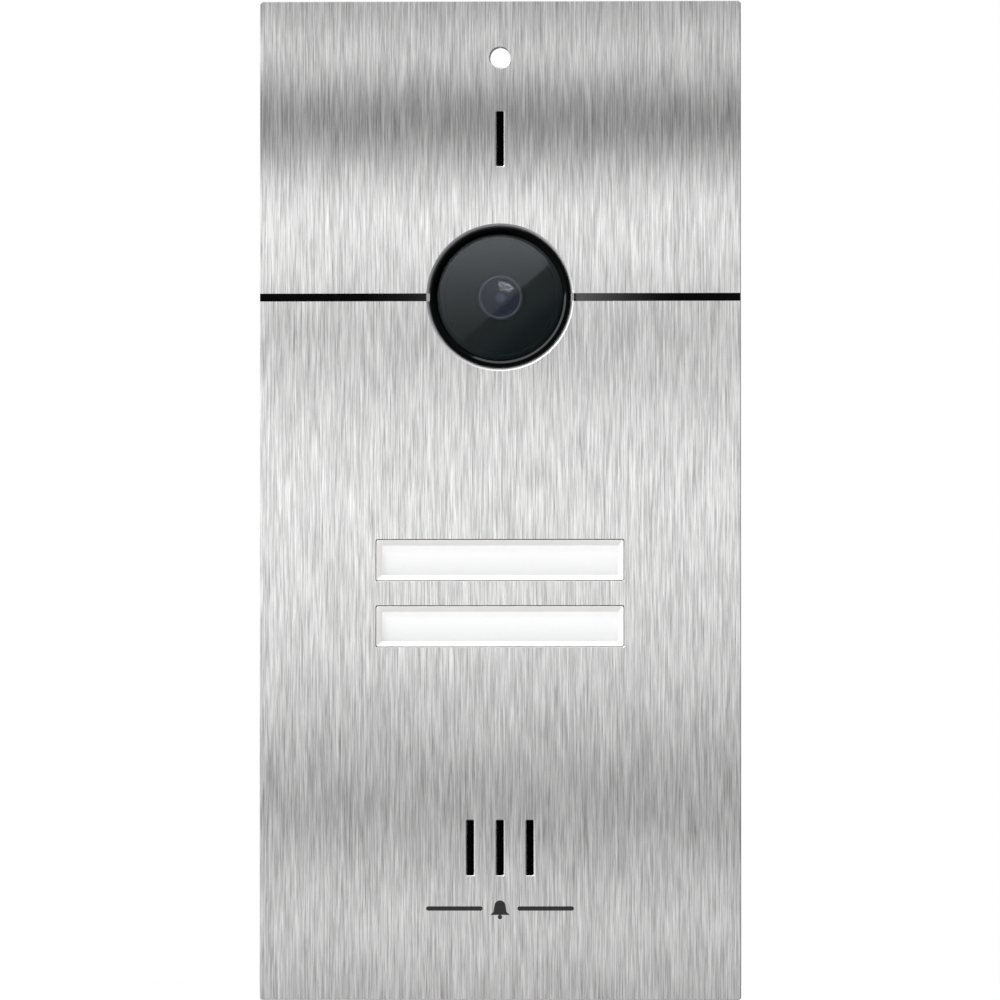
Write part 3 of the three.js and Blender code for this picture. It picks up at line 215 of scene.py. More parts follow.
def disc(diameter, front, back, segments=SMALL, x=0.0, z=0.0):
    radius = diameter / 2
    return spindle([(radius, front), (radius, back)], segments, x, z)


def ring(outer, inner, front, back, segments=ROUND, x=0.0, z=0.0):
    a, b = inner / 2, outer / 2
    return turned([(a, front), (b, front), (b, back), (a, back), (a, front)], segments, x, z)


def dome(rim_radius, rim_y, height, steps=16):
    """A shallow dome from the axis to the rim, as (radius, y) points."""
    sphere = (rim_radius ** 2 + height ** 2) / (2 * height)
    half_angle = math.asin(rim_radius / sphere)
    points = []
    for i in range(steps + 1):
        angle = half_angle * i / steps
        points.append((sphere * math.sin(angle), rim_y - height + sphere * (1 - math.cos(angle))))
    return points


def filling(node, corner):
    """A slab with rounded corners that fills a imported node's box."""
    wide, at = size(node), middle(node)
    low, high = box(node)
    return slab(rounded(wide.x, wide.z, corner, at.x, at.z), low.y, high.y)


def filling_disc(node, segments=SMALL):
    at = middle(node)
    low, high = box(node)
    return disc(high.x - low.x, low.y, high.y, segments, at.x, at.z)


def settle(shape):
    """Applies every modifier of a shape."""
    bpy.context.view_layer.update()
    evaluated = shape.evaluated_get(bpy.context.evaluated_depsgraph_get())
    mesh = bpy.data.meshes.new_from_object(evaluated)
    shape.modifiers.clear()
    shape.data = mesh
    return shape


def combine(base, parts, operation):
    for part in parts:
        modifier = base.modifiers.new("combine", "BOOLEAN")
        modifier.operation = operation
        modifier.solver = "EXACT"
        modifier.object = part
    settle(base)
    for part in parts:
        bpy.data.objects.remove(part)
    return base


def joined(base, *parts):
    return combine(base, parts, "UNION")


def cut(base, *parts):
    return combine(base, parts, "DIFFERENCE")


def eased(shape, width, segments=3, angle=35):
    """Rounds every edge sharper than angle."""
    modifier = shape.modifiers.new("ease", "BEVEL")
    modifier.width = width
    modifier.segments = segments
    modifier.limit_method = "ANGLE"
    modifier.angle_limit = math.radians(angle)
    modifier.miter_outer = "MITER_ARC"
    modifier.use_clamp_overlap = True
    return settle(shape)


def swept(path, radius, sides=12):
    """A closed tube of one radius along a smooth path."""
    vertices, faces = [], []
    for i, point in enumerate(path):
        ahead = path[min(i + 1, len(path) - 1)]
        behind = path[max(i - 1, 0)]
        along = (ahead - behind).normalized()
        across = along.cross(Vector((0, 1, 0))).normalized()
        up = across.cross(along)
        for k in range(sides):
            angle = 2 * math.pi * k / sides
            vertices.append(point + radius * (math.cos(angle) * across + math.sin(angle) * up))
    for i in range(len(path) - 1):
        for k in range(sides):
            j = (k + 1) % sides
            faces.append((i * sides + k, i * sides + j, (i + 1) * sides + j, (i + 1) * sides + k))
    faces.append(tuple(reversed(range(sides))))
    last = (len(path) - 1) * sides
    faces.append(tuple(last + k for k in range(sides)))
    return raw([tuple(v) for v in vertices], faces)


# Materials

BRUSH_MAP = "brush"
LOOKS = {}


class Tree:
    """The nodes of a material, a lamp or the world, and short ways to add to them."""

    def __init__(self, owner):
        owner.use_nodes = True
        self.nodes, self.links = owner.node_tree.nodes, owner.node_tree.links

    def feed(self, source, socket):
        if isinstance(source, bpy.types.NodeSocket):
            self.links.new(source, socket)
        else:
            socket.default_value = source

    def add(self, kind, *sources, **settings):
        """A node with its own settings, and its first inputs linked or set."""
        node = self.nodes.new("ShaderNode" + kind)
        for name, value in settings.items():
            setattr(node, name, value)
        for source, socket in zip(sources, node.inputs):
            self.feed(source, socket)
        return node

    def place(self, kind):
        return self.add("TexCoord").outputs[kind]

    def vector(self, operation, a, *b):
        """A sum on vectors: its result is a vector for some sums and a number for others."""
        node = self.add("VectorMath", a, *b, operation=operation)
        return node.outputs["Value" if operation in ("DOT_PRODUCT", "LENGTH") else "Vector"]

    def times(self, a, b):
        return self.add("Math", a, b, operation="MULTIPLY").outputs["Value"]

    def split(self, vector):
        return self.add("SeparateXYZ", vector).outputs

    def noise(self, scale, detail=4.0, rough=0.55):
        """Noise on the object's own metres, with one scale or one for each axis."""
        scales = scale if isinstance(scale, tuple) else (scale,) * 3
        stretch = self.add("Mapping", self.place("Object"))
        stretch.inputs["Scale"].default_value = scales
        texture = self.add("TexNoise", stretch.outputs["Vector"])
        for name, value in (("Scale", 1.0), ("Detail", detail), ("Roughness", rough)):
            texture.inputs[name].default_value = value
        return texture.outputs["Fac"]

    def remap(self, value, to_min, to_max, from_min=0.25, from_max=0.75):
        return self.add("MapRange", value, from_min, from_max, to_min, to_max).outputs["Result"]

    def mixed(self, factor, low, high):
        node = self.add("Mix", factor, data_type="RGBA")
        for name, value in (("A", low), ("B", high)):
            target = next(s for s in node.inputs if s.name == name and s.type == "RGBA")
            self.feed((*value, 1.0) if isinstance(value, tuple) else value, target)
        return next(s for s in node.outputs if s.type == "RGBA")

    def bump(self, height, shader, strength, depth):
        node = self.add("Bump")
        node.inputs["Strength"].default_value = strength
        node.inputs["Distance"].default_value = depth * MM
        self.feed(height, node.inputs["Height"])
        self.feed(node.outputs["Normal"], shader.inputs["Normal"])


def shade(colour, factor):
    return tuple(min(1.0, c * factor) for c in colour)


def principled(slot):
    """A new look, with its tree and its shader."""
    LOOKS[slot] = bpy.data.materials.new(slot)
    tree = Tree(LOOKS[slot])
    return tree, tree.nodes["Principled BSDF"]


def surface(slot, colour, roughness, metallic=0.0, variation=0.08, patch=120, grain=2500,
            relief=0.3, relief_depth=0.02, rough_spread=0.06, wear=1.25, **sockets):
    """A finish with cloudy colour, a fine grain in its roughness and relief, and worn edges."""
    tree, shader = principled(slot)
    cloud = tree.noise(patch)
    fine = tree.noise(grain, detail=3.0)
    base = tree.mixed(cloud, shade(colour, 1 - variation), shade(colour, 1 + variation))
    pointed = tree.add("NewGeometry").outputs["Pointiness"]
    worn = tree.times(tree.remap(pointed, 0.0, 0.7, 0.52, 0.62), cloud)
    tree.feed(tree.mixed(worn, base, shade(colour, wear)), shader.inputs["Base Color"])
    rough_low = max(0.0, roughness - rough_spread)
    tree.feed(tree.remap(fine, rough_low, roughness + rough_spread), shader.inputs["Roughness"])
    tree.bump(fine, shader, relief, relief_depth)
    for name, value in {"Metallic": metallic, **sockets}.items():
        shader.inputs[name.replace("_", " ")].default_value = value
    return tree, shader


def brushed(slot, colour, roughness, anisotropy):
    """Steel brushed along Z: fine streaks in colour, roughness and relief."""
    tree, shader = principled(slot)
    hair = tree.noise((4200, 4200, 110), detail=3.0, rough=0.65)
    band = tree.noise((1500, 1500, 45), detail=2.0, rough=0.5)
    share = tree.remap(hair, 0.0, 1.0, 0.30, 0.70)
    tone = tree.mixed(share, shade(colour, 0.50), shade(colour, 1.50))
    toned = tree.mixed(tree.remap(band, 0.0, 0.35), tone, shade(colour, 0.93))
    tree.feed(toned, shader.inputs["Base Color"])
    rough = tree.remap(hair, roughness - 0.04, roughness + 0.04)
    tree.feed(rough, shader.inputs["Roughness"])
    shader.inputs["Metallic"].default_value = 1.0
    shader.inputs["Anisotropic"].default_value = anisotropy
    tangent = tree.add("Tangent", direction_type="UV_MAP", uv_map=BRUSH_MAP)
    tree.feed(tangent.outputs["Tangent"], shader.inputs["Tangent"])
    tree.bump(hair, shader, 0.12, 0.004)


# Direction of the painted light on the steel's edges: from the upper left.
PAINTED_LIGHT_FROM = Vector((-0.64, 0.0, 0.77))


def painted_light_edge(slot, painted_shade_colour, painted_lit_colour):
    """A cut edge of the steel with painted light and shade: painted bright where it faces the
    upper left, painted duller elsewhere.
    """
    tree, shader = surface(slot, painted_shade_colour, 0.36, 1.0, 0.04, 400, 4000, 0.2, 0.004, 0.05, 1.1)
    normal = tree.add("NewGeometry").outputs["True Normal"]
    share = tree.remap(tree.vector("DOT_PRODUCT", normal, PAINTED_LIGHT_FROM), 0, 1, -0.16, 0.2)
    tone = tree.mixed(tree.noise(4000), painted_lit_colour, shade(painted_lit_colour, 0.9))
    tree.feed(tree.mixed(share, painted_shade_colour, tone), shader.inputs["Base Color"])


def painted_glow_lens(slot, body, stop, painted_pupil_glow):
    """Coated lens with painted glow: a painted pupil glow in the middle, a painted dark ring for
    the stop's shade, then the body; the same colours glow as emission.
    """
    tree, shader = surface(slot, body, 0.014, 0.0, 0.2, 260, 900, 0.002, 0.0001, 0.002, 1.1,
                           Alpha=0.6, IOR=1.8)
    offset = tree.vector("SUBTRACT", tree.place("Generated"), (0.5, 0.5, 0.5))
    reach = tree.vector("LENGTH", tree.vector("MULTIPLY", offset, (2.0, 0.0, 2.0)))
    tone = tree.mixed(tree.noise(260), shade(body, 0.85), shade(body, 1.15))
    with_painted_stop_ring = tree.mixed(tree.remap(reach, 0, 1, 0.38, 0.46), stop, tone)
    painted_rings_glow = tree.mixed(tree.remap(reach, 1, 0, 0.25, 0.29), with_painted_stop_ring, painted_pupil_glow)
    tree.feed(painted_rings_glow, shader.inputs["Base Color"])
    # Painted glow: the lens emits its painted rings, though it is no lamp.
    tree.feed(painted_rings_glow, shader.inputs["Emission Color"])
    shader.inputs["Emission Strength"].default_value = 2.0


def card_with_painted_glow(slot, colour, top, bottom):
    """Card with a painted glow for the light behind it, which is no lamp here; the glow is painted
    a little brighter near its upper edge and is strong enough to wash out the rim's shadow.
    """
    tree, shader = surface(slot, colour, 0.62, 0.0, 0.04, 500, 5000, 0.3, 0.01, 0.05, 1.0)
    height = tree.split(tree.place("Generated"))["Z"]
    tree.feed(tree.mixed(height, bottom, top), shader.inputs["Emission Color"])
    shader.inputs["Emission Strength"].default_value = 1.0


brushed("brushed_front", (0.64, 0.64, 0.637), 0.27, 0.86)
surface("plain_steel", (0.55, 0.56, 0.57), 0.38, 1.0, 0.08, 300, 3000)
surface("zinc_screws", (0.62, 0.63, 0.64), 0.30, 1.0, 0.10, 500, 4000)
# The plate's edges: lit and shaded copies of one steel, picked by the way each face turns, so
# their light and shade are painted.
painted_light_edge("edge_with_painted_light", (0.30, 0.30, 0.31), (0.95, 0.955, 0.96))
surface("gloss_black", (0.0008, 0.0009, 0.0009), 0.08, 0.0, 0.2, 150, 1800, 0.03, 0.002, 0.03,
        2.0, Specular_IOR_Level=0.12)
surface("deep_black", (0.002, 0.002, 0.002), 0.9, 0.0, 0.3, 900, 5000, 0.5, 0.02, 0.05, 2.0,
        Specular_IOR_Level=0.1)
# Rear lens: a painted glow in its emission stands in for the sheen seen through the stop.
surface("rear_lens_painted_glow", (0.02, 0.03, 0.05), 0.05, 0.0, 0.3, 900, 2000, 0.02, 0.001, 0.015, 1.5,
        Emission_Color=(0.42, 0.60, 1.0, 1.0), Emission_Strength=0.30)
surface("printed_ink", (0.020, 0.020, 0.021), 0.5, 0.0, 0.1, 700, 6000, 0.2, 0.004, 0.05, 1.3)
surface("satin_black", (0.007, 0.011, 0.012), 0.5, 0.0, 0.2, 300, 4000, Specular_IOR_Level=0.35)
surface("housing_black", (0.014, 0.0145, 0.0155), 0.5, 0.0, 0.15, 60, 2200, 0.6, 0.03, 0.08, 1.8)
surface("black_rubber", (0.009, 0.009, 0.009), 0.78, 0.0, 0.2, 90, 1600, 0.7, 0.04, 0.1, 1.6)
surface("smoked_glass", (0.003, 0.011, 0.013), 0.045, 0.0, 0.2, 80, 900, 0.02, 0.001, 0.015, 1.5,
        Alpha=0.42, IOR=1.62)
# Front lens: violet body, a painted dark stop ring and a painted pupil glow, all emitting.
painted_glow_lens("lens_glass", (0.007, 0.009, 0.027), (0.002, 0.003, 0.008), (0.052, 0.062, 0.105))
surface("label_cover", (0.93, 0.94, 0.94), 0.10, 0.0, 0.03, 80, 900, 0.05, 0.002, 0.03, 1.0,
        Alpha=0.10, IOR=1.49)
surface("button_frame", (0.74, 0.725, 0.71), 0.36, 0.0, 0.05, 90, 2600, 0.25, 0.01, 0.05, 1.1)
# Name cards glow with painted light, painted brighter at the top.
card_with_painted_glow("name_card", (0.20, 0.20, 0.20), (0.88, 0.88, 0.88), (0.64, 0.645, 0.645))
surface("light_diffuser", (0.82, 0.82, 0.79), 0.5, 0.0, 0.04)
surface("circuit_board", (0.012, 0.105, 0.040), 0.38, 0.0, 0.25, 900, 5000, 0.3, 0.01, 0.06, 1.5)
surface("terminal_green", (0.028, 0.26, 0.095), 0.42, 0.0, 0.1)
surface("trimmer_blue", (0.020, 0.095, 0.38), 0.4, 0.0, 0.1)
surface("rotor_white", (0.80, 0.77, 0.70), 0.45, 0.0, 0.06)
surface("chip_black", (0.020, 0.020, 0.022), 0.6, 0.0, 0.2, 400, 6000)
surface("capacitor_sleeve", (0.020, 0.032, 0.070), 0.28, 0.0, 0.15)
surface("cone_film", (0.024, 0.020, 0.017), 0.35, 0.0, 0.2)
surface("magnet_steel", (0.28, 0.29, 0.30), 0.35, 1.0, 0.1)
surface("ribbon_amber", (0.46, 0.18, 0.028), 0.3, 0.0, 0.15)
surface("lamp_yellow", (0.85, 0.76, 0.38), 0.3, 0.0, 0.08)
surface("spring_steel", (0.50, 0.51, 0.52), 0.28, 1.0, 0.1, 500, 4000)
surface("anodised_barrel", (0.14, 0.155, 0.19), 0.35, 0.0, 0.15, 300, 4000)


# Handing a shape in as a piece

def brush_uv(mesh):
    """Each face takes its UV from the two axes that it lies along, so U follows X on the front."""
    layer = mesh.uv_layers.new(name=BRUSH_MAP)
    for polygon in mesh.polygons:
        normal = polygon.normal
        facing = max(range(3), key=lambda axis: abs(normal[axis]))
        u_axis, v_axis = {0: (1, 2), 1: (0, 2), 2: (0, 1)}[facing]
        for index in polygon.loop_indices:
            place = mesh.vertices[mesh.loops[index].vertex_index].co
            layer.data[index].uv = (place[u_axis], place[v_axis])


def piece(shape, name, slot, *nodes, body=HOUSING, look=None, smooth=32):
    """Scales a shape to metres, shades it, and gives it a body, a finish and its nodes."""
    shape.name = name
    mesh = shape.data
    mesh.name = name
    mesh.transform(Matrix.Scale(MM, 4))
    while mesh.uv_layers:
        mesh.uv_layers.remove(mesh.uv_layers[0])
    brush_uv(mesh)
    mesh.materials.clear()
    mesh.materials.append(LOOKS[look or slot])
    mesh.shade_smooth()
    mesh.set_sharp_from_angle(angle=math.radians(smooth))
    modifier = shape.modifiers.new("normals", "WEIGHTED_NORMAL")
    modifier.keep_sharp = True
    settle(shape)
    shape.data.name = name
    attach(shape, body)
    if nodes:
        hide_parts(*nodes)
    return shape


# Front plate, inlay and wall gasket

def quarter(radius, steps=5):
    """A rounded edge, as (inset, depth) from the face to the wall."""
    points = []
    for i in range(steps + 1):
        angle = math.radians(90 * i / steps)
        points.append((radius * (1 - math.sin(angle)), radius * (1 - math.cos(angle))))
    return points


def mouth_cutter(outline_at, edge):
    """Cuts an opening through the plate and rounds its front edge. outline_at(d) is d wider."""
    sections = [(outline_at(edge), PLATE_FRONT - OVER)]
    sections += [(outline_at(inset), PLATE_FRONT + depth) for inset, depth in quarter(edge)]
    sections.append((outline_at(0), PLATE_BACK + OVER))
    return loft(sections)


def slot_cutter(width, height, x, z):
    def outline_at(wider):
        return rounded(width + 2 * wider, height + 2 * wider, SLOT_CORNER + wider, x, z)
    return mouth_cutter(outline_at, SLOT_EDGE)


SLOT_WIDTH = 1.5
SPEAKER_SLOT_HEIGHT = 11.35
SPEAKER_SLOT_PITCH = 6.2
MICROPHONE_SLOT_HEIGHT = 11.3
FIXING_HOLE = 4.2
FIXING_HOLE_FROM_TOP = 11.75
BUTTON_GAP = 0.2         # round a call button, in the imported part
BUTTON_GAP_SEEN = 0.12   # and as drawn, with the mouldings as close as they really fit
BUTTON_CORNER = 0.35
BEZEL_HOLE_GAP = 0.15
STRIPE_GAP = 0.02
STRIPE_OVER = 0.05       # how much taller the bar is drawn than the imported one, each way
STANDOFF = 6.0
SCREW_BORE = 3.2
BEZEL_DIAMETER = 29.1
EDGE_NORMAL = 0.985      # a face whose normal leans off every axis by more than this is an edge


def camera_opening():
    bore = BEZEL_DIAMETER / 2 + BEZEL_HOLE_GAP
    mouth = bore + CAMERA_BEVEL_WIDTH
    return spindle([(mouth, PLATE_FRONT - OVER), (mouth, PLATE_FRONT),
                    (bore, PLATE_FRONT + CAMERA_BEVEL_DEPTH), (bore, PLATE_BACK + OVER)],
                   FINE, 0, CAMERA_Z)


def front_plate():
    low, high = box("front_plate")
    width, height = high.x - low.x, high.z - low.z

    def outline_at(inset):
        return rounded(width - 2 * inset, height - 2 * inset, PLATE_CORNER - inset)

    edge = quarter(PLATE_EDGE)
    sections = [(outline_at(inset), PLATE_FRONT + depth) for inset, depth in edge]
    sections += [(outline_at(inset), PLATE_BACK - depth) for inset, depth in reversed(edge)]
    plate = loft(sections)
    stripe = size("stripe_inlay_left").z + 2 * (STRIPE_OVER + STRIPE_GAP)
    depth = size("stripe_inlay_left").y + SEAT_GAP
    groove = block(low.x - OVER, high.x + OVER, PLATE_FRONT - OVER, PLATE_FRONT + depth,
                   CAMERA_Z - stripe / 2, CAMERA_Z + stripe / 2)
    hole_z = high.z - FIXING_HOLE_FROM_TOP
    hole = FIXING_HOLE / 2
    rim = [(hole + inset, PLATE_FRONT + deep) for inset, deep in quarter(HOLE_EDGE)]
    fixing = spindle([(hole + HOLE_EDGE, PLATE_FRONT - OVER), *rim, (hole, PLATE_BACK + OVER)],
                     SMALL, 0, hole_z)
    slots = [slot_cutter(SLOT_WIDTH, SPEAKER_SLOT_HEIGHT, i * SPEAKER_SLOT_PITCH, SPEAKER_Z)
             for i in (-1, 0, 1)]
    slots.append(slot_cutter(SLOT_WIDTH, MICROPHONE_SLOT_HEIGHT, 0, MICROPHONE_Z))
    windows = []
    for side, z in BUTTON_Z.items():
        cap = button_cap(side)

        def window_at(wider, z=z, cap=cap):
            spare = 2 * (BUTTON_GAP_SEEN + wider)
            return rounded(cap[0] + spare, cap[1] + spare, BUTTON_CORNER + wider, 0, z)
        windows.append(mouth_cutter(window_at, WINDOW_EDGE))
    plate = cut(plate, groove, fixing, camera_opening(), *slots, *windows)
    floor = PLATE_BACK - ROOT
    standoffs = [spindle([(STANDOFF / 2, floor), (STANDOFF / 2, high.y), (SCREW_BORE / 2, high.y),
                          (SCREW_BORE / 2, PLATE_BACK + ROOT)], SMALL, x, z) for x, z in POSTS]
    shape = piece(joined(plate, *standoffs), "brushed_steel_plate", "brushed_front",
                  "front_plate", smooth=13)
    # Faces that lean off every axis take the edge finish with painted light and shade.
    shape.data.materials.append(LOOKS["edge_with_painted_light"])
    for polygon in shape.data.polygons:
        if max(abs(share) for share in polygon.normal) < EDGE_NORMAL:
            polygon.material_index = 1


def stripes():
    for side, name in ((-1, "left"), (1, "right")):
        node = f"stripe_inlay_{name}"
        low, high = box(node)
        near = BEZEL_DIAMETER / 2
        edges = (low.x, -near) if side < 0 else (near, high.x)
        tall = size(node).z / 2 + STRIPE_OVER
        bar = block(*edges, low.y, high.y, CAMERA_Z - tall, CAMERA_Z + tall)
        bevel = BEZEL_DIAMETER + 2 * (BEZEL_HOLE_GAP + CAMERA_BEVEL_WIDTH + STRIPE_GAP)
        end = disc(bevel, low.y - OVER, high.y + OVER, FINE, 0, CAMERA_Z)
        piece(eased(cut(bar, end), 0.06, 2), f"{name}_stripe_bar", "gloss_black", node)


def wall_gasket():
    low, high = box("wall_gasket")
    width, height = high.x - low.x, high.z - low.z
    wide, corner = 5.0, 2.0
    outer = slab(rounded(width, height, corner), low.y, high.y)
    inner = slab(rounded(width - 2 * wide, height - 2 * wide, corner), low.y - OVER, high.y + OVER)
    shape = eased(cut(outer, inner), 0.3)
    piece(shape, "foam_wall_gasket", "black_rubber", "wall_gasket")


MARK_FROM_FOOT = 18.95
MARK_WIDTH = 30.7
MARK_HEIGHT = 4.45
MARK_INK = 0.03


def bell_outline(x, z, tall):
    """A bell: a domed crown, flaring sides and a flat foot."""
    half, waist, crown = tall * 0.46, tall * 0.30, tall * 0.26
    foot, shoulder = z - tall * 0.30, z + tall * 0.12
    points = [(x - half, foot), (x + half, foot), (x + waist, foot + tall * 0.14),
              (x + crown, shoulder)]
    for k in range(1, 8):
        angle = math.pi * k / 8
        points.append((x + crown * math.cos(angle), shoulder + crown * math.sin(angle)))
    return points + [(x - crown, shoulder), (x - waist, foot + tall * 0.14)]


def printed_mark():
    """A plain printed bell between two bars, under the speaker."""
    z = box("front_plate")[0].z + MARK_FROM_FOOT
    front, back = PLATE_FRONT - MARK_INK, PLATE_FRONT + MARK_INK
    clapper = disc(MARK_HEIGHT * 0.2, front, back, SMALL, 0, z - MARK_HEIGHT * 0.40)
    bell = joined(slab(bell_outline(0, z, MARK_HEIGHT), front, back), clapper)
    piece(bell, "printed_bell", "gloss_black", look="printed_ink")
    bar_height, gap = 0.9, 1.4
    inner = MARK_HEIGHT / 2 + gap
    length = MARK_WIDTH / 2 - inner
    for side, name in ((-1, "left"), (1, "right")):
        x = side * (inner + length / 2)
        bar = slab(rounded(length, bar_height, bar_height * 0.48, x, z), front, back)
        piece(bar, f"printed_{name}_bar", "gloss_black", look="printed_ink")


# Housing

HOUSING_CORNER = 4.0
HOUSING_WALL = 2.0
POST = 9.4
POST_TIP = 6.0
POST_OVER_RIM = 0.3
SCREW_THREAD = 3.0
CROSS_LENGTH = 1.45      # half the length of an arm of the cross in a screw's head
CROSS_WIDTH = 0.32       # and half its width
CROSS_DEPTH = 1.2
PRONG_X = 8.0
PRONG_HALF = 1.5         # half the width of a prong of the hook
PRONG_FRONT = 5.4
PRONG_BACK = 6.6


def housing_outline(inset, corner=HOUSING_CORNER):
    low, high = box("front_chassis")
    return rounded(high.x - low.x - 2 * inset, high.z - low.z - 2 * inset,
                   max(corner - inset, ROOT), 0, (low.z + high.z) / 2)


def collar(diameter, length, z):
    wall = 1.2
    bore = diameter + 2 * FIT_GAP
    floor = CHASSIS_FRONT + HOUSING_WALL
    return ring(bore + 2 * wall, bore, floor - ROOT, floor + length, ROUND, 0, z)


CLOTH_GAP = 0.2
CLOTH_POCKET = 1.2
CLOTH_THICKNESS = 0.4


def cloth_outline(wider):
    """The strip of cloth behind the microphone's slot."""
    return rounded(3.0 + 2 * wider, MICROPHONE_SLOT_HEIGHT + 1.4 + 2 * wider, 0.5, 0, MICROPHONE_Z)


def front_chassis():
    low, high = box("front_chassis")
    floor = CHASSIS_FRONT + HOUSING_WALL
    rim = high.y - POST_OVER_RIM
    tray = slab(housing_outline(0), low.y, rim)
    tray = cut(tray, slab(housing_outline(HOUSING_WALL), floor, rim + OVER))
    well_wall, well_floor, well_gap = 1.05, 1.2, 0.3
    board = box("camera_board")
    bore = size("camera_board").x - 2
    camera_hole = bore - 2.1
    well = ring(bore + 2 * HOUSING_WALL, bore, floor - ROOT, board[0].y - SEAT_GAP, ROUND, 0,
                CAMERA_Z)
    features = [well, collar(size("speaker_frame").x, 4, SPEAKER_Z),
                collar(size("microphone_boot").x, 3.5, MICROPHONE_Z)]
    cutters = [disc(size("camera_bezel").x + 2 * FIT_GAP, low.y - OVER,
                    box("camera_bezel")[1].y + FIT_GAP, ROUND, 0, CAMERA_Z),
               disc(camera_hole, low.y, floor + OVER, ROUND, 0, CAMERA_Z),
               disc(20, low.y - OVER, floor + OVER, ROUND, 0, SPEAKER_Z),
               disc(size("speaker_membrane").x + 2 * FIT_GAP, low.y - OVER, low.y + 0.6, ROUND,
                    0, SPEAKER_Z),
               disc(4, low.y - OVER, floor + OVER, SMALL, 0, MICROPHONE_Z),
               slab(cloth_outline(CLOTH_GAP), low.y - OVER, low.y + CLOTH_POCKET)]
    for side, z in BUTTON_Z.items():
        flange = size(f"{side}_button_frame")
        hollow_w, hollow_h = flange.x + 2 * well_gap, flange.z + 2 * well_gap
        front_of_floor = box(f"{side}_left_return_spring")[1].y + SEAT_GAP
        features.append(slab(square(hollow_w + 2 * well_wall, hollow_h + 2 * well_wall, 0, z),
                             low.y, front_of_floor + well_floor))
        lamp = middle(f"{side}_name_lamp")
        cutters += [slab(square(hollow_w, hollow_h, 0, z), low.y - OVER, front_of_floor),
                    slab(square(4.4, 4.4, lamp.x, z), front_of_floor - OVER,
                         front_of_floor + well_floor + OVER),
                    disc(4 + 2 * SLIDE_GAP, front_of_floor - OVER,
                         front_of_floor + well_floor + OVER, SMALL, 0, z)]
    wide = (STANDOFF + 2 * SLIDE_GAP) / 2
    narrow = (SCREW_THREAD + 2 * FIT_GAP) / 2
    step = box("front_plate")[1].y + SLIDE_GAP
    for x, z in POSTS:
        features += [disc(POST, floor - ROOT, rim, SMALL, x, z),
                     disc(POST_TIP, rim - ROOT, high.y, SMALL, x, z)]
        cutters.append(spindle([(wide, low.y - OVER), (wide, step), (narrow, step),
                                (narrow, high.y + OVER)], SMALL, x, z))
    half = PRONG_HALF + SLIDE_GAP
    for x in (-PRONG_X, PRONG_X):
        cutters.append(block(x - half, x + half, PRONG_FRONT - SLIDE_GAP, PRONG_BACK + SLIDE_GAP,
                             low.z - OVER, low.z + HOUSING_WALL + OVER))
    shape = cut(joined(tray, *features), *cutters)
    piece(eased(shape, MOULDED_EDGE, 2), "moulded_front_tray", "housing_black", "front_chassis")


def cover_seal():
    low, high = box("cover_seal")
    outer = slab(housing_outline(0.1), low.y, high.y)
    inner = slab(housing_outline(1.9), low.y - OVER, high.y + OVER)
    piece(eased(cut(outer, inner), 0.2), "rubber_joint_seal", "black_rubber", "cover_seal")


BAY_WIDTH = 68.0
BAY_HEIGHT = 32.0
BAY_MIDDLE = 10.0
BAY_WALL = 2.0


def rear_cover():
    low, high = box("rear_cover")
    front = box("cover_seal")[1].y + SEAT_GAP
    chamfer = 1.0
    profile = [(chamfer * (1 - math.sin(a)), chamfer * (1 - math.cos(a)))
               for a in (math.radians(15 * k) for k in range(7))]
    sections = [(housing_outline(0), front)]
    sections += [(housing_outline(inset), high.y - deep) for inset, deep in reversed(profile)]
    shell = cut(loft(sections), slab(housing_outline(HOUSING_WALL), front - OVER,
                                     high.y - HOUSING_WALL))
    board_gap, bay_floor_thickness, part_gap = 1.6, 1.6, 0.5
    bay_front = box("main_board")[1].y + board_gap
    bay_floor = bay_front + bay_floor_thickness
    features = [slab(square(BAY_WIDTH + 2 * BAY_WALL, BAY_HEIGHT + 2 * BAY_WALL, 0, BAY_MIDDLE),
                     bay_front, high.y - HOUSING_WALL / 2)]
    cutters = [slab(rounded(BAY_WIDTH, BAY_HEIGHT, 1.0, 0, BAY_MIDDLE), bay_floor, high.y + OVER)]
    for node in ("terminal_block", "speaker_trimmer_base", "microphone_trimmer_base"):
        at, wide = middle(node), size(node)
        spare = 2 * part_gap
        cutters.append(slab(rounded(wide.x + spare, wide.z + spare, 0.4, at.x, at.z),
                            bay_front - OVER, bay_floor + OVER))
    head = (size("housing_screw_1").x + 2 * FIT_GAP) / 2
    narrow = (SCREW_THREAD + 2 * FIT_GAP) / 2
    seat = low.y + 3
    for x, z in POSTS:
        features += [disc(POST, front, high.y - HOUSING_WALL / 2, SMALL, x, z),
                     disc(POST_TIP, low.y, high.y - HOUSING_WALL / 2, SMALL, x, z)]
        cutters.append(spindle([(narrow, low.y - OVER), (narrow, seat), (head, seat),
                                (head, high.y + OVER)], SMALL, x, z))
    shape = cut(joined(shell, *features), *cutters)
    piece(eased(shape, MOULDED_EDGE, 3), "moulded_rear_cover", "housing_black", "rear_cover")


def housing_screws():
    """Pan heads with a cross recess."""
    for number, (x, z) in enumerate(POSTS, 1):
        node = f"housing_screw_{number}"
        low, high = box(node)
        head = (high.x - low.x) / 2
        seat = high.y - 2.0
        crown = [(head * math.sin(math.radians(a)), high.y - 0.9 * (1 - math.cos(math.radians(a))))
                 for a in range(0, 91, 10)]
        profile = [(0, low.y), (1.2, low.y), (1.5, low.y + 0.5), (1.5, seat), (head, seat),
                   *reversed(crown[1:]), (0, high.y)]
        shape = turned(profile, SMALL, x, z)
        arms = [block(x - wide, x + wide, high.y - CROSS_DEPTH, high.y + OVER, z - tall, z + tall)
                for wide, tall in ((CROSS_LENGTH, CROSS_WIDTH), (CROSS_WIDTH, CROSS_LENGTH))]
        piece(eased(cut(shape, *arms), 0.08, 2), f"cross_recess_screw_{number}", "zinc_screws",
              node)


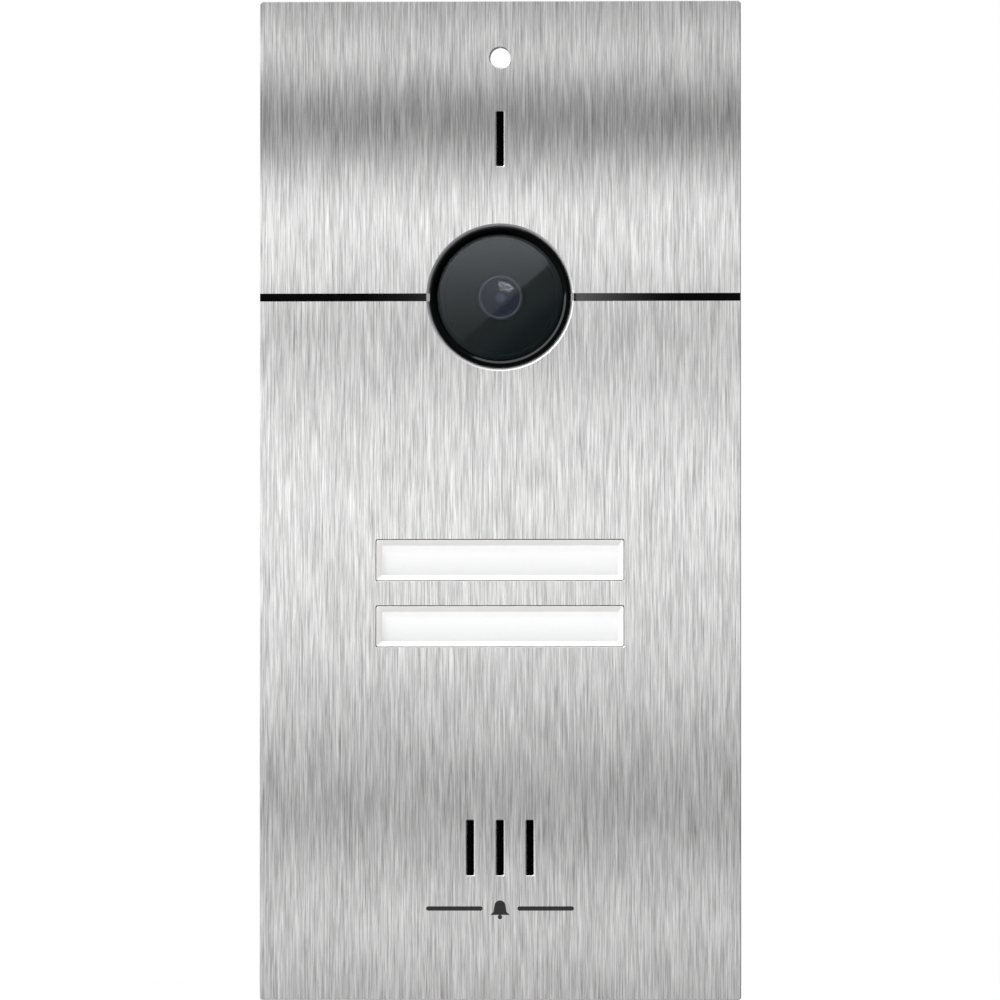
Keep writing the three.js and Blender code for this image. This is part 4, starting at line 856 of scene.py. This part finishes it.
def lower_hook():
    """A plate bent down at its rear edge, drawn as one section and widened along X."""
    low, high = box("lower_hook")
    thick, bend = 1.2, 1.4
    top = box("front_chassis")[0].z - SEAT_GAP
    front, back = low.y, high.y
    outer, inner = [], []
    for k in range(9):
        angle = math.radians(90 * k / 8)
        centre_y, centre_z = back - bend - thick, top - thick - bend
        outer.append((centre_y + (bend + thick) * math.sin(angle),
                      centre_z + (bend + thick) * math.cos(angle)))
        inner.append((centre_y + bend * math.sin(angle), centre_z + bend * math.cos(angle)))
    section = [(front, top), *outer, (back, low.z), (back - thick, low.z),
               *reversed(inner), (front, top - thick)]
    count = len(section)
    vertices = [(x, y, z) for x in (low.x, high.x) for y, z in section]
    faces = [tuple(range(count)), tuple(count + i for i in reversed(range(count)))]
    faces += [((i + 1) % count, i, count + i, count + (i + 1) % count) for i in range(count)]
    prongs = [block(x - PRONG_HALF, x + PRONG_HALF, PRONG_FRONT, PRONG_BACK, top - thick / 2,
                    high.z) for x in (-PRONG_X, PRONG_X)]
    shape = joined(raw(vertices, faces), *prongs)
    piece(eased(shape, 0.15, 2), "bent_steel_hook", "plain_steel", "lower_hook")


# Camera

def camera():
    z = CAMERA_Z
    low, high = box("camera_bezel")
    rim_low, rim_high = box("camera_window")
    window = (rim_high.x - rim_low.x) / 2
    bore = window + FIT_GAP / 2
    outer = BEZEL_DIAMETER / 2
    flange = (high.x - low.x) / 2
    ledge_width, lead_in, lip = 1.6, 0.5, 0.7
    inner = window - ledge_width
    ledge = box("window_seal")[1].y + SEAT_GAP
    bezel = turned([(inner, ledge), (bore, ledge), (bore, low.y + lead_in), (outer - lip, low.y),
                    (outer, low.y), (outer, CHASSIS_FRONT), (flange, CHASSIS_FRONT),
                    (flange, high.y), (inner, high.y), (inner, ledge)], FINE, 0, z)
    piece(eased(bezel, 0.12, 4, 20), "camera_bezel_ring", "gloss_black", "camera_bezel")
    edge = 0.35
    dome_rise = 0.5
    face = dome(window - edge, rim_low.y + dome_rise, dome_rise, 28)
    glass = turned([*face, (window, rim_low.y + dome_rise + edge), (window, rim_high.y),
                    (0, rim_high.y)], FINE, 0, z)
    piece(glass, "smoked_camera_window", "smoked_glass", "camera_window", smooth=50)
    seal = box("window_seal")
    seal_width = 1.3
    gasket = ring(2 * window, 2 * (window - seal_width), seal[0].y, seal[1].y, ROUND, 0, z)
    piece(eased(gasket, 0.08), "window_gasket", "black_rubber", "window_seal")
    baffle_low, baffle_high = box("camera_baffle")
    reach = (baffle_high.x - baffle_low.x) / 2
    hole, chamfer, flare = 10.3 / 2, 0.25, 0.8
    start = (hole, baffle_low.y + chamfer)
    steps = [start, (hole + chamfer, baffle_low.y), (reach, baffle_low.y),
             (reach, baffle_high.y), (hole + flare, baffle_high.y), start]
    piece(turned(steps, FINE, 0, z), "stepped_baffle", "satin_black", "camera_baffle")
    lens_barrel(z)
    lenses(z)
    camera_electronics(z)


def lens_barrel(z):
    low, high = box("lens_barrel")
    head, thread, seat = (high.x - low.x) / 2, 4.0, 4.0
    head_back = low.y + 2.7
    seat_back = low.y + 2.6
    profile = [(2.7, seat_back), (seat, seat_back), (seat, low.y + 0.35), (seat + 0.2, low.y),
               (head - 0.12, low.y), (head, low.y + 0.12), (head, head_back), (thread, head_back)]
    pitch, turns = 0.5, 9
    for k in range(turns):
        at = head_back + 0.1 + k * pitch
        profile += [(thread, at), (thread - 0.22, at + pitch / 2)]
    profile += [(thread, high.y), (2.7, high.y), (2.7, seat_back)]
    piece(turned(profile, ROUND, 0, z), "threaded_lens_barrel", "satin_black", "lens_barrel",
          look="anodised_barrel", smooth=25)


def lenses(z):
    low, high = box("front_lens")
    rim = (high.x - low.x) / 2
    front = turned([*dome(rim, low.y + 0.9, 0.9, 20), (rim, high.y), (0, high.y)], ROUND, 0, z)
    piece(front, "coated_front_lens", "lens_glass", "front_lens", smooth=50)
    low, high = box("rear_lens")
    rim = (high.x - low.x) / 2
    rear = turned([*dome(rim, low.y + 0.4, 0.4), (rim, high.y), (0, high.y)], ROUND, 0, z)
    piece(rear, "coated_rear_lens", "lens_glass", "rear_lens", look="rear_lens_painted_glow", smooth=50)
    stop_front = box("front_lens")[1].y + 0.35
    bore, lip, cell = 1.1, 1.5, 2.6
    stop = turned([(bore, stop_front + 0.1), (bore + 0.1, stop_front), (lip, stop_front),
                   (lip, stop_front + 0.4), (bore, stop_front + 0.4),
                   (bore, stop_front + 0.1)], ROUND, 0, z)
    piece(stop, "aperture_stop", "satin_black", look="deep_black")
    cell_ring = ring(2 * cell, 2 * lip + 0.1, stop_front + 0.1, stop_front + 0.5, ROUND, 0, z)
    piece(eased(cell_ring, 0.08, 2), "lens_cell_ring", "satin_black", look="anodised_barrel")


def camera_electronics(z):
    low, high = box("lens_holder")
    wide = high.x - low.x
    base_front = high.y - 2.4
    body = joined(slab(rounded(wide, wide, 0.8, 0, z), base_front, high.y),
                  disc(12, low.y, base_front + ROOT, ROUND, 0, z))
    body = cut(body, disc(8.2, low.y - OVER, high.y + OVER, ROUND, 0, z),
               slab(square(9, 9, 0, z), box("image_sensor")[0].y - 1, high.y + OVER))
    piece(eased(body, 0.15), "lens_holder_block", "satin_black", "lens_holder")
    piece(eased(filling("image_sensor", 0.2), 0.08), "image_sensor_chip", "chip_black",
          "image_sensor")
    piece(eased(filling("camera_board", 1.0), 0.06, 2), "camera_circuit_board", "circuit_board",
          "camera_board")
    ribbon = frame["nodes"]["camera_ribbon_cable"]
    ribbon.data.materials.clear()
    ribbon.data.materials.append(LOOKS["ribbon_amber"])


# Microphone and speaker

def microphone():
    z = MICROPHONE_Z
    low, high = box("microphone_boot")
    outer, port = (high.x - low.x) / 2, 0.8
    capsule = box("microphone_capsule")
    radius = (capsule[1].x - capsule[0].x) / 2
    seat = capsule[0].y - FIT_GAP
    boot = turned([(port, low.y), (outer, low.y), (outer, high.y), (radius + FIT_GAP, high.y),
                   (radius + FIT_GAP, seat), (port, seat), (port, low.y)], ROUND, 0, z)
    piece(eased(boot, 0.2), "rubber_microphone_boot", "black_rubber", "microphone_boot")
    cloth_back = CHASSIS_FRONT + CLOTH_POCKET - SEAT_GAP
    strip = slab(cloth_outline(0), cloth_back - CLOTH_THICKNESS, cloth_back)
    piece(eased(strip, 0.08, 2), "acoustic_strip", "satin_black", look="deep_black")
    can_back = high.y - FIT_GAP
    can = disc(2 * radius, capsule[0].y, can_back, ROUND, 0, z)
    pins = [disc(0.6, can_back - ROOT, capsule[1].y, 16, x, z) for x in (-1.25, 1.25)]
    piece(eased(joined(can, *pins), 0.1), "electret_capsule", "plain_steel", "microphone_capsule")


def speaker():
    z = SPEAKER_Z
    low, high = box("speaker_membrane")
    cloth = disc(high.x - low.x, low.y, high.y, ROUND, 0, z)
    piece(eased(cloth, 0.08), "acoustic_cloth", "satin_black", "speaker_membrane",
          look="deep_black")
    low, high = box("speaker_gasket")
    wide = high.x - low.x
    piece(eased(ring(wide, wide - 4, low.y, high.y, ROUND, 0, z), 0.2), "foam_speaker_gasket",
          "black_rubber", "speaker_gasket")
    low, high = box("speaker_frame")
    rim, wall = (high.x - low.x) / 2, 0.8
    inner, back_r = rim - 2.2, 9.5
    rim_back = low.y + 1
    basket_back = rim_back + 4.6
    hole = 4.2
    basket = turned([(inner, low.y), (rim, low.y), (rim, rim_back), (inner, rim_back),
                     (back_r, basket_back), (hole, basket_back), (hole, basket_back - wall),
                     (back_r - wall, basket_back - wall), (inner - wall, rim_back),
                     (inner - wall, low.y + wall), (inner, low.y)], ROUND, 0, z)
    tails = [block(x - 0.8, x + 0.8, basket_back - 1.6, high.y, z - 0.2, z + 0.2)
             for x in (-10, 10)]
    piece(joined(basket, *tails), "speaker_basket", "satin_black", "speaker_frame")
    low, high = box("speaker_cone")
    edge, cap = (high.x - low.x) / 2, 5.0
    bowl = dome(cap, low.y + 1.7, 1.275)
    thick = 0.3
    cone = turned([*bowl, (edge - 1, low.y), (edge, low.y), (edge, low.y + thick),
                   (edge - 1, low.y + thick), *[(r, y + thick) for r, y in reversed(bowl)]],
                  ROUND, 0, z)
    piece(cone, "film_cone", "cone_film", "speaker_cone")
    low, high = box("speaker_magnet")
    radius = (high.x - low.x) / 2
    front = low.y + 0.8
    magnet = spindle([(4, low.y), (4, front), (radius, front), (radius, high.y)], ROUND, 0, z)
    piece(eased(magnet, 0.3), "magnet_cup", "magnet_steel", "speaker_magnet")


# Call buttons

CAP_RIM = 1.15
CAP_RIM_DEPTH = 0.7
CAP_WALL = 0.6
FLANGE_OVERHANG = 1.3


def button_cap(side):
    """Width and height of a button's cap: its flange less what reaches behind the plate."""
    flange = size(f"{side}_button_frame")
    shrink = 2 * (FLANGE_OVERHANG + BUTTON_GAP)
    return flange.x - shrink, flange.z - shrink


def button_frame(side, z):
    node = f"{side}_button_frame"
    low, high = box(node)
    wide, tall = button_cap(side)
    flange_front = high.y - 0.8
    edge = quarter(0.08, 3)
    sections = [(rounded(wide - 2 * inset, tall - 2 * inset, BUTTON_CORNER - inset, 0, z),
                 low.y + deep) for inset, deep in edge]
    sections.append((rounded(wide, tall, BUTTON_CORNER, 0, z), high.y))
    flange = slab(rounded(high.x - low.x, high.z - low.z, BUTTON_CORNER + 1, 0, z),
                  flange_front, high.y)
    opening_w, opening_h = wide - 2 * CAP_RIM, tall - 2 * CAP_RIM
    lip = 0.1

    def inside(wider):
        return rounded(opening_w + 2 * wider, opening_h + 2 * wider, 0.1 + wider * 0.2, 0, z)
    slope = loft([(inside(CAP_RIM - lip), low.y - OVER), (inside(CAP_RIM - lip), low.y),
                  (inside(0), low.y + CAP_RIM_DEPTH), (inside(0), high.y + OVER)])
    bore = slab(square(wide - 2 * CAP_WALL, tall - 2 * CAP_WALL, 0, z),
                low.y + CAP_RIM_DEPTH + lip, high.y + OVER)
    shape = cut(joined(loft(sections), flange), slope, bore)
    piece(shape, f"{side}_sloped_frame", "button_frame", node, body=f"{side}_button")


def spring(side, hand):
    """A coil whose end turns lie flat."""
    node = f"{side}_{hand}_return_spring"
    low, high = box(node)
    wire = 0.2
    at = middle(node)
    radius = (high.x - low.x) / 2 - wire
    start, end = low.y + wire, high.y - wire
    turns, per_turn, flat = 3, 40, 0.12
    steps = turns * per_turn
    path = []
    for i in range(steps + 1):
        share = i / steps
        climb = min(1.0, max(0.0, (share - flat) / (1 - 2 * flat)))
        angle = 2 * math.pi * i / per_turn
        path.append(Vector((at.x + radius * math.cos(angle), start + (end - start) * climb,
                            at.z + radius * math.sin(angle))))
    shape = piece(swept(path, wire), f"{side}_{hand}_coil", "spring_steel", node)
    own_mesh(shape)


def buttons():
    for side, z in BUTTON_Z.items():
        body = f"{side}_button"
        button_frame(side, z)
        for part, name, slot, edge in (("label_cover", "clear_cover", "label_cover", 0.15),
                                       ("name_label", "blank_card", "name_card", 0.05)):
            node = f"{side}_{part}"
            piece(eased(filling(node, 0.3), edge, 2), f"{side}_{name}", slot, node, body=body)
        node = f"{side}_light_diffuser"
        low, high = box(node)
        plate_back = low.y + 3.7
        shape = joined(slab(rounded(high.x - low.x, high.z - low.z, 0.3, 0, z), low.y, plate_back),
                       disc(4, plate_back - ROOT, high.y, SMALL, 0, z))
        piece(eased(shape, 0.15, 2), f"{side}_diffuser_plate", "light_diffuser", node, body=body)
        node = f"{side}_push_switch"
        front = box(node)[0].y
        shape = cut(filling(node, 0.3),
                    disc(3.8, front - OVER, front + 0.9 + 0.5 + SLIDE_GAP, SMALL, 0, z))
        piece(eased(shape, 0.12, 2), f"{side}_tact_switch", "chip_black", node)
        node = f"{side}_switch_plunger"
        piece(eased(filling_disc(node), 0.2), f"{side}_round_plunger", "rotor_white", node,
              body=f"{side}_plunger")
        node = f"{side}_name_lamp"
        piece(eased(filling(node, 0.3), 0.15), f"{side}_led", "lamp_yellow", node)
        for hand in ("left", "right"):
            spring(side, hand)


# Main board and the parts in the wiring bay

def main_board():
    low, high = box("main_board")
    notches = [disc(POST + 1.6, low.y - OVER, high.y + OVER, SMALL, x, z) for x, z in POSTS]
    board = cut(filling("main_board", 0.8), *notches)
    piece(eased(board, 0.06, 2), "main_circuit_board", "circuit_board", "main_board")
    piece(eased(filling("video_processor", 0.3), 0.15), "processor_package", "chip_black",
          "video_processor")
    low, high = box("power_capacitor")
    at = middle("power_capacitor")
    radius, neck = (high.x - low.x) / 2, 0.5
    crimp = low.y + 2
    can = spindle([(radius, low.y), (radius, crimp), (radius - neck, crimp + neck),
                   (radius, crimp + 2 * neck), (radius, high.y - neck), (radius - neck, high.y)],
                  SMALL, at.x, at.z)
    piece(eased(can, 0.15), "sleeved_capacitor", "capacitor_sleeve", "power_capacitor")


def terminal_block():
    low, high = box("terminal_block")
    z = middle("terminal_block").z
    cutters = []
    for number in (1, 2, 3, 4):
        x = middle(f"terminal_screw_{number}").x
        cutters += [disc(4.2, high.y - 6, high.y + OVER, SMALL, x, z),
                    block(x - 1.5, x + 1.5, high.y - 6.5, high.y - 3.5, low.z - OVER, z + 2.1)]
    for x in [low.x + (high.x - low.x) * k / 4 for k in (1, 2, 3)]:
        cutters.append(block(x - 0.2, x + 0.2, high.y - 0.6, high.y + OVER, low.z - OVER,
                             high.z + OVER))
    shape = cut(filling("terminal_block", 0.3), *cutters)
    piece(eased(shape, 0.12, 2), "four_way_terminal", "terminal_green", "terminal_block")
    for number in (1, 2, 3, 4):
        node = f"terminal_screw_{number}"
        back = box(node)[1].y
        at = middle(node)
        slot = block(at.x - 4, at.x + 4, back - 1, back + OVER, at.z - 0.4, at.z + 0.4)
        piece(eased(cut(filling_disc(node), slot), 0.1, 2), f"clamp_screw_{number}",
              "zinc_screws", node)


def trimmers():
    for kind in ("speaker", "microphone"):
        node = f"{kind}_trimmer_base"
        back, at = box(node)[1].y, middle(node)
        shape = cut(filling(node, 0.3), disc(5.4, back - 1.1, back + OVER, SMALL, at.x, at.z))
        piece(eased(shape, 0.15, 2), f"{kind}_level_base", "trimmer_blue", node)
        node = f"{kind}_trimmer_rotor"
        back, at = box(node)[1].y, middle(node)
        radius = size(node).x / 2
        reach, half = radius * 0.75, 0.4
        slot = block(at.x - reach, at.x + reach, back - 0.8, back + OVER, at.z - half, at.z + half)
        pointer = block(at.x - half, at.x + half, back - 0.4, back + OVER, at.z,
                        at.z + radius + OVER)
        shape = cut(filling_disc(node), slot, pointer)
        piece(eased(shape, 0.08, 2), f"{kind}_level_rotor", "rotor_white", node,
              body=f"{kind}_rotor")


# Stage: floor, light and camera

TARGET = Vector((0, PLATE_FRONT * MM, 0))


def floor():
    low = box("front_plate")[0]
    half, thick = 600.0, 4.0
    shape = slab(rounded(2 * half, thick, 1.0, 0, low.z - 1.5 - thick / 2), -half, half)
    shape.name = "pale_floor"
    shape.data.transform(Matrix.Scale(MM, 4))
    surface("floor_paint", (0.86, 0.86, 0.86), 0.6, 0.0, 0.02, 12, 400, 0.1, 0.02)
    shape.data.materials.append(LOOKS["floor_paint"])
    shape.visible_glossy = False


def world():
    """White behind the object, and a soft grey room that is lighter on the upper left."""
    scene_world = bpy.data.worlds.new("studio")
    bpy.context.scene.world = scene_world
    tree = Tree(scene_world)
    tree.nodes.clear()
    lighter_side = Vector((-0.55, 0.35, 0.75)).normalized()
    share = tree.vector("DOT_PRODUCT", tree.place("Generated"), lighter_side)
    white = (1, 1, 1, 1)
    surround = tree.add("Background", white, tree.remap(share, 0.02, 0.70, -0.7, 0.8))
    backdrop = tree.add("Background", white)
    seen = tree.add("LightPath").outputs["Is Camera Ray"]
    mix = tree.add("MixShader", seen, surround.outputs[0], backdrop.outputs[0])
    tree.add("OutputWorld", mix.outputs["Shader"])


def glowing(holder):
    """A lamp's tree, and the place on the lamp that a ray of light leaves."""
    tree = Tree(holder.data)
    return tree, tree.add("NewGeometry").outputs["Position"]


def brighten(tree, strength):
    tree.feed(strength, tree.nodes["Emission"].inputs["Strength"])


def softbox(name, place, aim, width, height, watts, lights=(), spares=()):
    """An area lamp that the camera doesn't see. With lights, it shines on those pieces only,
    and with spares on everything but those."""
    lamp = bpy.data.lights.new(name, "AREA")
    lamp.shape = "RECTANGLE"
    lamp.size, lamp.size_y = width, height
    lamp.energy = watts
    holder = bpy.data.objects.new(name, lamp)
    bpy.context.scene.collection.objects.link(holder)
    holder.location = place
    holder.rotation_euler = (Vector(aim) - Vector(place)).to_track_quat("-Z", "Y").to_euler()
    holder.visible_camera = False
    if lights or spares:
        group = bpy.data.collections.new(name + "_lit")
        for shape in (*lights, *spares):
            group.objects.link(bpy.data.objects[shape])
        for shape in spares:
            place_in_group = list(group.objects).index(bpy.data.objects[shape])
            group.collection_objects[place_in_group].light_linking.link_state = "EXCLUDE"
        holder.light_linking.receiver_collection = group
    return holder


# How bright the brushed plate looks at each height, as (share of the height, brightness)
BANDS = ((0.00, 0.42), (0.06, 0.55), (0.105, 0.53), (0.155, 0.42), (0.195, 0.335), (0.25, 0.44),
         (0.30, 0.54), (0.36, 0.63), (0.44, 0.71), (0.52, 0.725), (0.60, 0.66), (0.672, 0.47),
         (0.715, 0.62), (0.77, 0.735), (0.80, 0.73), (0.835, 0.51), (0.870, 0.235),
         (0.903, 0.225), (0.94, 0.52), (0.968, 0.545), (1.00, 0.36))
STEEL = 0.64             # how much light the plate sends back
ROOM = 0.15              # how bright the room is in front of the plate
LEFT_GAIN = 1.02         # the left side is a little lighter than the right
RIGHT_GAIN = 0.915


def band_lamp():
    """A wide lamp close in front of the plate, whose brightness changes with height."""
    low, high = box("front_plate")
    gap, spare = 0.018, 0.05
    tall = (high.z - low.z) * MM + 2 * spare
    place = Vector((0, low.y * MM - gap, 0))
    holder = softbox("band_lamp", place, (0, 0, 0), 1.0, tall, math.pi * tall,
                     ("brushed_steel_plate",))
    tree, leaves = glowing(holder)
    at = tree.split(leaves)
    share = tree.remap(at["Z"], 0, 1, low.z * MM, high.z * MM)
    ramp = tree.add("ValToRGB", share)
    stops = ramp.color_ramp.elements
    ramp.color_ramp.interpolation = "B_SPLINE"
    while len(stops) < len(BANDS):
        stops.new(0.5)
    for stop, (height, value) in zip(stops, BANDS):
        stop.position = height
        glow = value / STEEL - ROOM
        stop.color = (glow, glow, glow, 1)
    tree.feed(ramp.outputs["Color"], tree.nodes["Emission"].inputs["Color"])
    brighten(tree, tree.remap(at["X"], LEFT_GAIN, RIGHT_GAIN, low.x * MM, high.x * MM))


def facing_lamp(name, place, turn, width, height, radiance, lights):
    """A rectangular lamp that faces the panel squarely, turned in its own plane."""
    holder = softbox(name, place, place + Vector((0, 1, 0)), width, height,
                     math.pi * width * height * radiance, lights)
    along = Vector((math.cos(turn), 0, math.sin(turn)))
    facing = Vector((0, -1, 0))
    up = facing.cross(along)
    holder.rotation_euler = Matrix((along, up, facing)).transposed().to_euler()
    return holder


GLASS_TURN = math.radians(41.6)      # slope of the light's edge across the window
GLASS_EDGE_BELOW = 1.05              # how far below the middle that edge runs, in mm
GLASS_LAMP_AWAY = 0.3


def window_lamp():
    """A panel whose lower edge is mirrored across the window from corner to corner."""
    low, high = box("camera_window")
    rim, rise = (high.x - low.x) / 2 * MM, 0.5 * MM
    sphere = (rim ** 2 + rise ** 2) / (2 * rise)
    spread = 1 + 2 * GLASS_LAMP_AWAY / sphere
    across = Vector((-math.sin(GLASS_TURN), 0, math.cos(GLASS_TURN)))
    view = VIEW_AWAY
    mirrored = Vector((-view.x, 0, -view.z)) * GLASS_LAMP_AWAY
    middle_point = Vector((0, low.y * MM - GLASS_LAMP_AWAY, CAMERA_Z * MM))
    edge = middle_point + mirrored - across * GLASS_EDGE_BELOW * MM * spread
    wide, tall = 0.26, 0.18
    holder = facing_lamp("window_lamp", edge + across * tall / 2, GLASS_TURN, wide, tall, 1.0,
                         ("smoked_camera_window",))
    holder.data.color = (0.93, 0.96, 1.0)
    tree, leaves = glowing(holder)
    reach = rim * spread
    share = tree.remap(tree.split(leaves)["Z"], 0, 1, edge.z - reach, edge.z + reach)
    brighten(tree, tree.remap(tree.times(share, share), 0.2, 3.0, 0, 1))


def angled_lamp(name, centre, azimuth, polar, away, wide, tall, radiance, lights):
    """A lamp seen from centre at an azimuth in the plate's plane and a polar angle off its
    normal, its width along the circle of that polar angle."""
    out = Vector((math.sin(polar) * math.cos(azimuth), -math.cos(polar),
                  math.sin(polar) * math.sin(azimuth)))
    along = Vector((-math.sin(azimuth), 0, math.cos(azimuth)))
    holder = softbox(name, centre + out * away, centre, wide, tall,
                     math.pi * wide * tall * radiance, lights)
    holder.rotation_euler = Matrix((along, out.cross(along), out)).transposed().to_euler()
    return holder


LENS_PIECES = ("threaded_lens_barrel", "coated_rear_lens", "lens_cell_ring")
HIGHLIGHT_AZIMUTH = (math.radians(38), math.radians(104))
HIGHLIGHT_POLAR = (math.radians(20), math.radians(47))


def lens_lamps():
    """One lamp gives the front lens its fan-shaped highlight, another lifts its rings."""
    centre = Vector((0, box("front_lens")[0].y * MM, CAMERA_Z * MM))
    away = 0.4
    near, far = (away * math.tan(polar) for polar in HIGHLIGHT_POLAR)
    place = centre + Vector((0, -away, far / 2))
    holder = facing_lamp("lens_highlight", place, 0.0, 2 * far, far, 1.0,
                         ("coated_front_lens",))
    holder.data.color = (0.90, 0.94, 1.0)
    tree, leaves = glowing(holder)
    offset = tree.vector("SUBTRACT", leaves, (0, place.y, centre.z))
    at = tree.split(offset)
    turn = tree.add("Math", at["Z"], at["X"], operation="ARCTAN2").outputs["Value"]
    reach = tree.vector("LENGTH", offset)
    soft_turn, soft_reach = math.radians(3), 0.01
    start, end = HIGHLIGHT_AZIMUTH
    masks = [tree.remap(turn, 0, 1, start, start + soft_turn),
             tree.remap(turn, 1, 0, end - soft_turn, end),
             tree.remap(reach, 0, 1, near, near + soft_reach),
             tree.remap(reach, 1, 0, far - soft_reach, far)]
    glow = tree.remap(reach, 14, 34, near, far)
    for mask in masks:
        glow = tree.times(glow, mask)
    brighten(tree, glow)
    angled_lamp("lens_fill", centre, math.radians(100), math.radians(68), 0.3, 0.3, 0.3, 16.0,
                LENS_PIECES)


def bezel_lamp():
    """A long lamp low on the upper left, mirrored in the bezel's inner slope opposite."""
    centre = Vector((0, box("camera_bezel")[0].y * MM, CAMERA_Z * MM))
    holder = angled_lamp("bezel_lamp", centre, math.radians(125), math.radians(74), 0.3, 0.80,
                         0.22, 6.5, ("camera_bezel_ring",))
    holder.data.color = (0.92, 0.98, 1.0)


def stripe_lamp(side, name, radiance, near, far):
    """A small lamp close to one bar of the stripe: brightest at the camera, dying away."""
    gap, tall = 0.02, 0.03
    place = Vector((side * (near + far) / 2 * MM, PLATE_FRONT * MM - gap, CAMERA_Z * MM))
    holder = facing_lamp(f"{name}_stripe_lamp", place, 0.0, (far - near) * MM, tall, 1.0,
                         (f"{name}_stripe_bar",))
    tree, leaves = glowing(holder)
    share = tree.remap(tree.split(leaves)["X"], 1, 0, side * near * MM, side * far * MM)
    brighten(tree, tree.remap(tree.times(share, share), 0, radiance, 0, 1))


def button_lamp():
    """Lifts the lower and right rims of the call buttons."""
    frames = [f"{side}_sloped_frame" for side in BUTTON_Z]
    softbox("button_lamp", (-0.16, -0.6, 0.5), (0, 0, -0.02), 0.3, 0.3, 3.0, frames)


def lights():
    softbox("key", (-0.75, -1.0, 0.95), TARGET, 0.5, 0.5, 14,
            spares=("camera_bezel_ring", "stepped_baffle", "smoked_camera_window",
                    "coated_front_lens"))
    softbox("edge", (-0.9, -0.12, 0.9), TARGET, 0.6, 0.4, 5,
            spares=("camera_bezel_ring", "smoked_camera_window"))
    softbox("rear_fill", (0.6, 1.2, 0.7), TARGET, 0.8, 0.8, 12)
    band_lamp()
    window_lamp()
    lens_lamps()
    bezel_lamp()
    stripe_lamp(-1, "left", 2.2, 15.0, 30.0)
    stripe_lamp(1, "right", 10.0, 15.0, 36.0)
    button_lamp()


VIEW_AZIMUTH = math.radians(2.5)
VIEW_ELEVATION = math.radians(-1.5)
VIEW_AWAY = Vector((math.sin(VIEW_AZIMUTH) * math.cos(VIEW_ELEVATION),
                    -math.cos(VIEW_AZIMUTH) * math.cos(VIEW_ELEVATION),
                    math.sin(VIEW_ELEVATION)))


def camera_view():
    """A long lens, a little right of and below the panel's middle, so that holes show depth."""
    distance = 3.0
    view_height = 0.20768
    sensor = 36.0
    data = bpy.data.cameras.new("camera")
    data.sensor_width = sensor
    data.lens = distance * sensor / view_height
    data.clip_end = 20
    holder = bpy.data.objects.new("camera", data)
    bpy.context.scene.collection.objects.link(holder)
    holder.location = TARGET + VIEW_AWAY * distance
    holder.rotation_euler = (-VIEW_AWAY).to_track_quat("-Z", "Y").to_euler()
    bpy.context.scene.camera = holder
    bpy.context.scene.view_settings.view_transform = "Standard"


# Everything

camera_view()
front_plate()
stripes()
wall_gasket()
printed_mark()
front_chassis()
cover_seal()
rear_cover()
housing_screws()
lower_hook()
camera()
microphone()
speaker()
buttons()
main_board()
terminal_block()
trimmers()
floor()
world()
lights()
